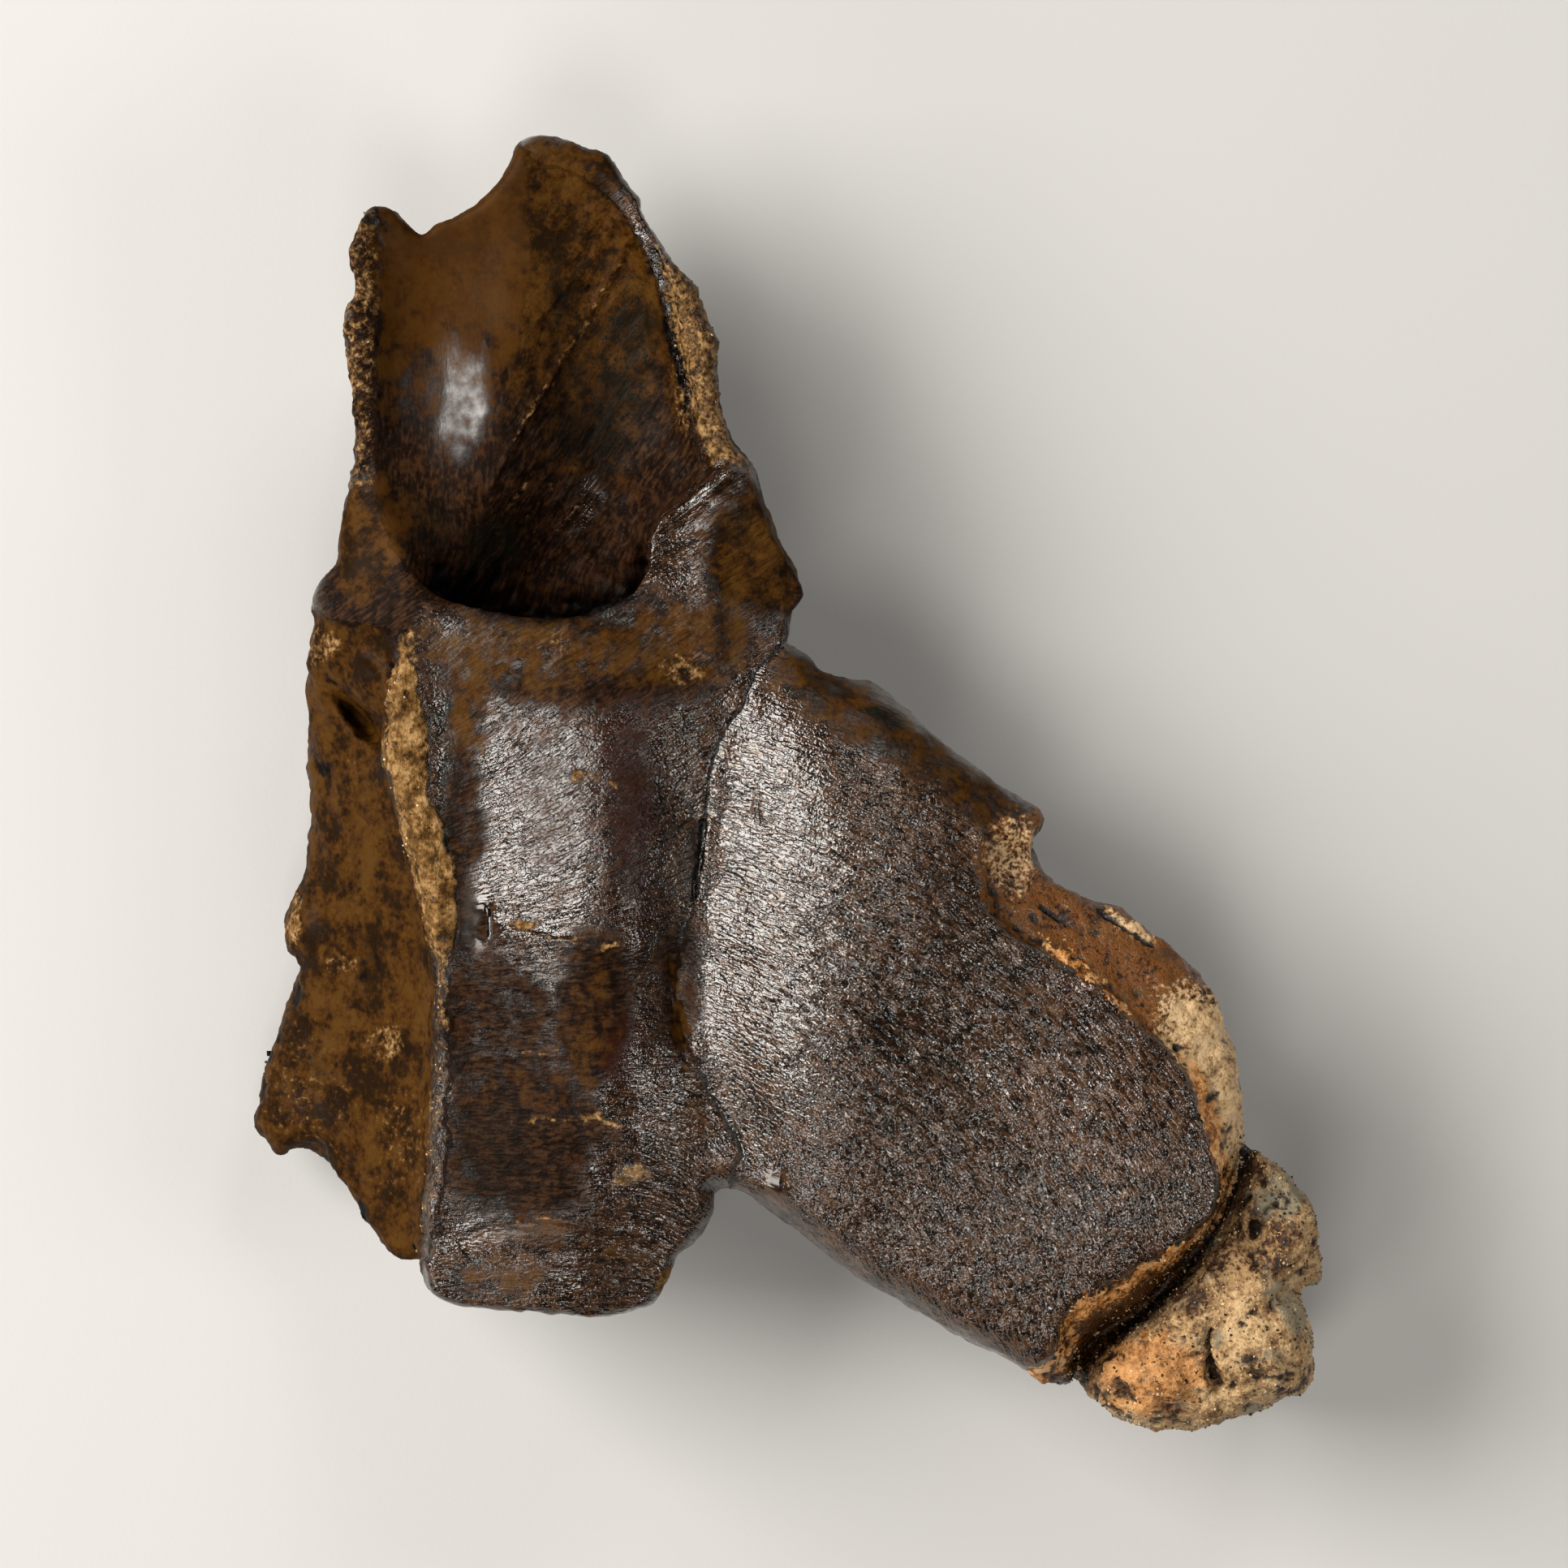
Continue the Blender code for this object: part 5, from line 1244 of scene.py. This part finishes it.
def surface_values(w, x, y, z, facing, depth_shade):
    """What the materials and the grains read on each point of the skin, by name."""
    spots = {name: patches(name, x, y) for name in PATCHES}
    side = ease((0.5 - facing) / 0.3) * ease((y - 60) / 6)
    ochre = np.maximum.reduce([spots["ochre"] * w["up"], w["flank"], 0.8 * w["under"]])
    # The broken band's south end, the wall above the groove, is darkened with painted shade
    shaded_wall = w["break"] * (1 - w["facet"]) * (1 - w["chip"]) * ease((y - 150) / 6)
    pale = ease((x + 1.5 * ripple(x, y, 3.0, 57) - 138.5) / 8)
    pale = pale * ease((y + 1.5 * ripple(x, y, 3.0, 59) - 117.5) / 8) * ease((150 - y) / 8)
    values = {
        "ochre": np.maximum(ochre, 0.95 * w["cup"] * ease((60 - y) / 24)),
        "red": spots["red"] * w["up"] * (1 - w["cup"]),
        "warm": (0.36 + 0.46 * spots["warm"]) * (1 - 0.65 * spots["dull"]) * (1 - 0.7 * w["cup"]),
        "darker_crust": spots["darker_crust"],
        "pebbly": spots["pebbly"] * w["up"] * (1 - w["smooth"]),
        "tan": np.maximum.reduce([
            w["crest"] * (0.9 - 0.5 * ease((y - 112) / 14)), w["rim"] * (0.68 - 0.2 * w["left_rim"]),
            spots["tan"] * w["up"], 0.4 * side * w["under"],
        ]),
        "stain": spots["stain"] * w["up"],
        "even": w["cup"] * (1 - w["cup_rough"]),
        "smooth": np.maximum.reduce([
            w["smooth"], 0.9 * w["cup"] * (1 - 0.4 * w["cup_rough"]), 0.72 * w["flank"], 0.8 * w["under"],
            0.7 * spots["ochre"],
        ]),
        "chip": np.maximum(w["chip"] * ease((y - 126) / 8), spots["ledge"]),
        "pale": w["break"] * np.maximum(pale, 0.8 * spots["tan"]),
        "cells": np.maximum(ease(2.0 - oval(x, y, 132.6, 167.8, 2.4, 2.8)), w["under"] * (z < 0.5)),
        # Painted shadow in the groove before the lump and in the hollow under the cup's ledge
        "shaded_depths": np.maximum(w["shaded_depths"], 0.9 * w["shaded_hollow"]),
        "rusty": ease(1.6 - oval(x, y, 141.6, 169.6, 6.5, 5.0)) * 0.9,
        # Painted shade: sunk places, the hollow under the cup's ledge, the band along the ledge and the
        # broken band's south wall are darkened in colour
        "recess_shade": np.maximum.reduce([
            depth_shade * (1 - 0.8 * spots["pits"]), 0.85 * w["shaded_hollow"], 0.75 * w["lip"], 0.7 * shaded_wall
        ]),
        "crumbs": np.clip(
            0.55 * w["facet"] + 1.0 * w["shaded_depths"] * (1 - w["facet"]) + 0.35 * w["break"] * (y > 138)
            + 0.25 * w["crest"] + 0.08 * w["rim"], 0, 1,
        ),
    }
    values["matt"] = np.maximum.reduce([
        values["ochre"], values["tan"], w["cup"], w["flank"], w["under"], spots["dull"]
    ]) - spots["gloss"]
    return values


class BuildBone(bpy.types.Operator):
    """Builds the bone: one carved skin over the CAD body, with its shell, breaks and crust."""

    bl_idname = "fossil.build_bone"
    bl_label = "Build Bone"

    def execute(self, context):
        shape, colours = context.scene.fossil_shape, context.scene.fossil_colours
        mesh = skin_of_bone(shape)
        mesh.name = "bone"
        w, x, y, z, depth = zones(points_of(mesh))
        along, over = fibre_run(w, x, y)
        with_values(mesh, "fibre", "FLOAT_VECTOR", np.column_stack([along, over, 0 * z]) * MM)
        # The painted shade of sunk points, read back from the skin
        depth_shade = np.empty(len(x), np.float32)
        mesh.attributes["depth_shade"].data.foreach_get("value", depth_shade)
        mesh.attributes.remove(mesh.attributes["depth_shade"])
        # The crest's tan runs over the edge, but not to the middle of the underside
        facing = np.where(depth < 3, normals_of(mesh)[:, 2], 1)
        values = surface_values(w, x, y, z, facing, depth_shade)
        for name, value in values.items():
            with_values(mesh, name, "FLOAT", value)
        for material in (
            # Polished by handling: dark and glossy, with a fibrous sheen
            polished_bone(colours, "mineralised_bone_shell", worn_matt=False),
            spongy_bone(colours),
            sandy_crust(colours),
            # Sheltered from wear: iron-stained and matt
            polished_bone(colours, "iron_stained_bone", worn_matt=True),
        ):
            mesh.materials.append(material)
        kind = np.where(values["matt"] > 0.85, SHELTERED, SHELL)
        kind[(w["break"] > 0.5) | ((w["under"] > 0.5) & (z < 0.6))] = SPONGY
        kind[w["facet"] > 0.5] = CRUST
        corners = np.empty(len(mesh.loops), np.int32)
        mesh.loops.foreach_get("vertex_index", corners)
        starts = np.empty(len(mesh.polygons), np.int32)
        mesh.polygons.foreach_get("loop_start", starts)
        mesh.polygons.foreach_set("material_index", kind[corners[starts]].astype(np.int32))
        mesh.shade_smooth()
        bone = added("bone", mesh)
        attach(bone, "root")
        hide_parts("vertebra_process")
        return {"FINISHED"}


def grain_tree(material):
    """Scatters irregular grains over a mesh, denser where its crumbs value is high."""
    tree = bpy.data.node_groups.new("matrix grains", "GeometryNodeTree")
    for name, kind in (("Geometry", "NodeSocketGeometry"), ("Grain width", "NodeSocketFloat"),
                       ("Grains per area", "NodeSocketFloat"), ("Seed", "NodeSocketInt")):
        tree.interface.new_socket(name, in_out="INPUT", socket_type=kind)
    tree.interface.new_socket("Geometry", in_out="OUTPUT", socket_type="NodeSocketGeometry")
    given = add_node(tree, "NodeGroupInput").node.outputs
    crumbs = add_node(tree, "GeometryNodeInputNamedAttribute", {"Name": "crumbs"}, data_type="FLOAT")
    density = add_node(tree, "ShaderNodeMath", {0: crumbs, 1: given["Grains per area"]}, operation="MULTIPLY")
    points = add_node(
        tree, "GeometryNodeDistributePointsOnFaces",
        {"Mesh": given["Geometry"], "Density": density, "Seed": given["Seed"]},
    )
    ball = add_node(tree, "GeometryNodeMeshIcoSphere", {"Radius": given["Grain width"], "Subdivisions": 1})
    turn = add_node(
        tree, "FunctionNodeRandomValue", {0: (0, 0, 0), 1: (6.28, 6.28, 6.28), "Seed": given["Seed"]},
        data_type="FLOAT_VECTOR",
    )
    size = add_node(
        tree, "FunctionNodeRandomValue", {0: (0.14, 0.14, 0.12), 1: (0.55, 0.5, 0.4), "Seed": given["Seed"]},
        data_type="FLOAT_VECTOR",
    )
    placed = add_node(
        tree, "GeometryNodeInstanceOnPoints",
        {"Points": points, "Instance": ball, "Rotation": turn, "Scale": size},
    )
    solid = add_node(tree, "GeometryNodeRealizeInstances", {0: placed})
    bent = add_node(tree, "ShaderNodeTexNoise", {"Scale": 1 / (0.5 * MM), "Detail": 0.0}, out="Color")
    centred = add_node(tree, "ShaderNodeVectorMath", {0: bent, 1: (0.5, 0.5, 0.5)}, operation="SUBTRACT")
    shift = add_node(tree, "ShaderNodeVectorMath", {0: centred, "Scale": 0.22 * MM}, operation="SCALE")
    moved = add_node(tree, "GeometryNodeSetPosition", {"Geometry": solid, "Offset": shift})
    dressed = add_node(tree, "GeometryNodeSetMaterial", {"Geometry": moved, "Material": material})
    add_node(tree, "NodeGroupOutput", {"Geometry": dressed})
    return tree


class BuildGrains(bpy.types.Operator):
    """Scatters the grains of sandy matrix over the lump, the groove and the broken end."""

    bl_idname = "fossil.build_grains"
    bl_label = "Build Grains"

    def execute(self, context):
        shape = context.scene.fossil_shape
        carrier = added("carrier", bpy.data.objects["bone"].data.copy())
        tree = grain_tree(loose_grain(context.scene.fossil_colours))
        modifier = carrier.modifiers.new("grains", "NODES")
        modifier.node_group = tree
        values = {"Grain width": shape.crumb_size, "Grains per area": shape.crumb_density, "Seed": shape.seed}
        for item in tree.interface.items_tree:
            if item.name in values:
                modifier[item.identifier] = values[item.name]
        mesh = made_plain(carrier)
        if not mesh.polygons:
            raise RuntimeError("no grains were scattered")
        mesh.name = "grains"
        grains = added("grains", mesh)
        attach(grains, "root")
        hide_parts("vertebra_process")
        return {"FINISHED"}


class BuildStage(bpy.types.Operator):
    """Sets the pale floor, the soft lights and the camera that looks straight down."""

    bl_idname = "fossil.build_stage"
    bl_label = "Build Stage"

    def execute(self, context):
        scene = context.scene
        mesh = bpy.data.meshes.new("floor")
        corners = [(x * FLOOR_HALF, y * FLOOR_HALF, 0) for x, y in ((-1, -1), (1, -1), (1, 1), (-1, 1))]
        mesh.from_pydata(corners, [], [(0, 1, 2, 3)])
        # Pale matt paper, which gives the eye nothing but the bone's shadow
        material, tree, _, (tooth,) = new_material("matt_paper", (), ((0.6, 3.0, 0.55),))
        finished(tree, ((scene.fossil_colours.floor, None),), ((tooth, None, 0.02),), 0.9, 1.45)
        mesh.materials.append(material)
        floor = added("floor", mesh)
        floor.location.z = FLOOR_HEIGHT
        world = bpy.data.worlds.new("studio")
        world.use_nodes = True
        background = world.node_tree.nodes["Background"].inputs
        background["Color"].default_value = scene.fossil_colours.surroundings
        background["Strength"].default_value = SURROUNDINGS_STRENGTH
        scene.world = world
        for name, place, size, power in LIGHTS:
            light = bpy.data.lights.new(name, "AREA")
            light.energy, light.size = power, size
            box = added(name, light)
            box.location = place
            box.rotation_euler = (Vector(LIT_POINT) - Vector(place)).to_track_quat("-Z", "Y").to_euler()
        scene.view_settings.view_transform = "Standard"
        camera = bpy.data.cameras.new("camera")
        camera.type, camera.sensor_fit = "PERSP", "HORIZONTAL"
        camera.sensor_width, camera.lens = SENSOR_WIDTH, LENS
        camera.clip_start, camera.clip_end = 0.05, 10
        eye = added("camera", camera)
        eye.location = (0, 0, UPPER_SIDE + VIEW_WIDTH * LENS / SENSOR_WIDTH)
        scene.camera = eye
        return {"FINISHED"}


class FossilPanel(bpy.types.Panel):
    """Lists the steps and the sizes and colours of the fossil."""

    bl_idname = "VIEW3D_PT_fossil"
    bl_label = "Fossil"
    bl_space_type = "VIEW_3D"
    bl_region_type = "UI"
    bl_category = "Fossil"

    def draw(self, context):
        for step in (BuildBone, BuildGrains, BuildStage):
            self.layout.operator(step.bl_idname)
        for group in (context.scene.fossil_shape, context.scene.fossil_colours):
            box = self.layout.box()
            for name in group.bl_rna.properties.keys():
                if name not in ("rna_type", "name"):
                    box.prop(group, name)


CLASSES = (FossilShape, FossilColours, BuildBone, BuildGrains, BuildStage, FossilPanel)


def register():
    """Adds the classes, and the sizes and colours of the scene."""
    for item in CLASSES:
        bpy.utils.register_class(item)
    bpy.types.Scene.fossil_shape = PointerProperty(type=FossilShape)
    bpy.types.Scene.fossil_colours = PointerProperty(type=FossilColours)


def unregister():
    """Takes away what register added."""
    del bpy.types.Scene.fossil_colours
    del bpy.types.Scene.fossil_shape
    for item in reversed(CLASSES):
        bpy.utils.unregister_class(item)


def main():
    """Builds the fossil and its stage."""
    register()
    bpy.ops.fossil.build_bone()
    bpy.ops.fossil.build_grains()
    bpy.ops.fossil.build_stage()


if __name__ == "__main__":
    main()
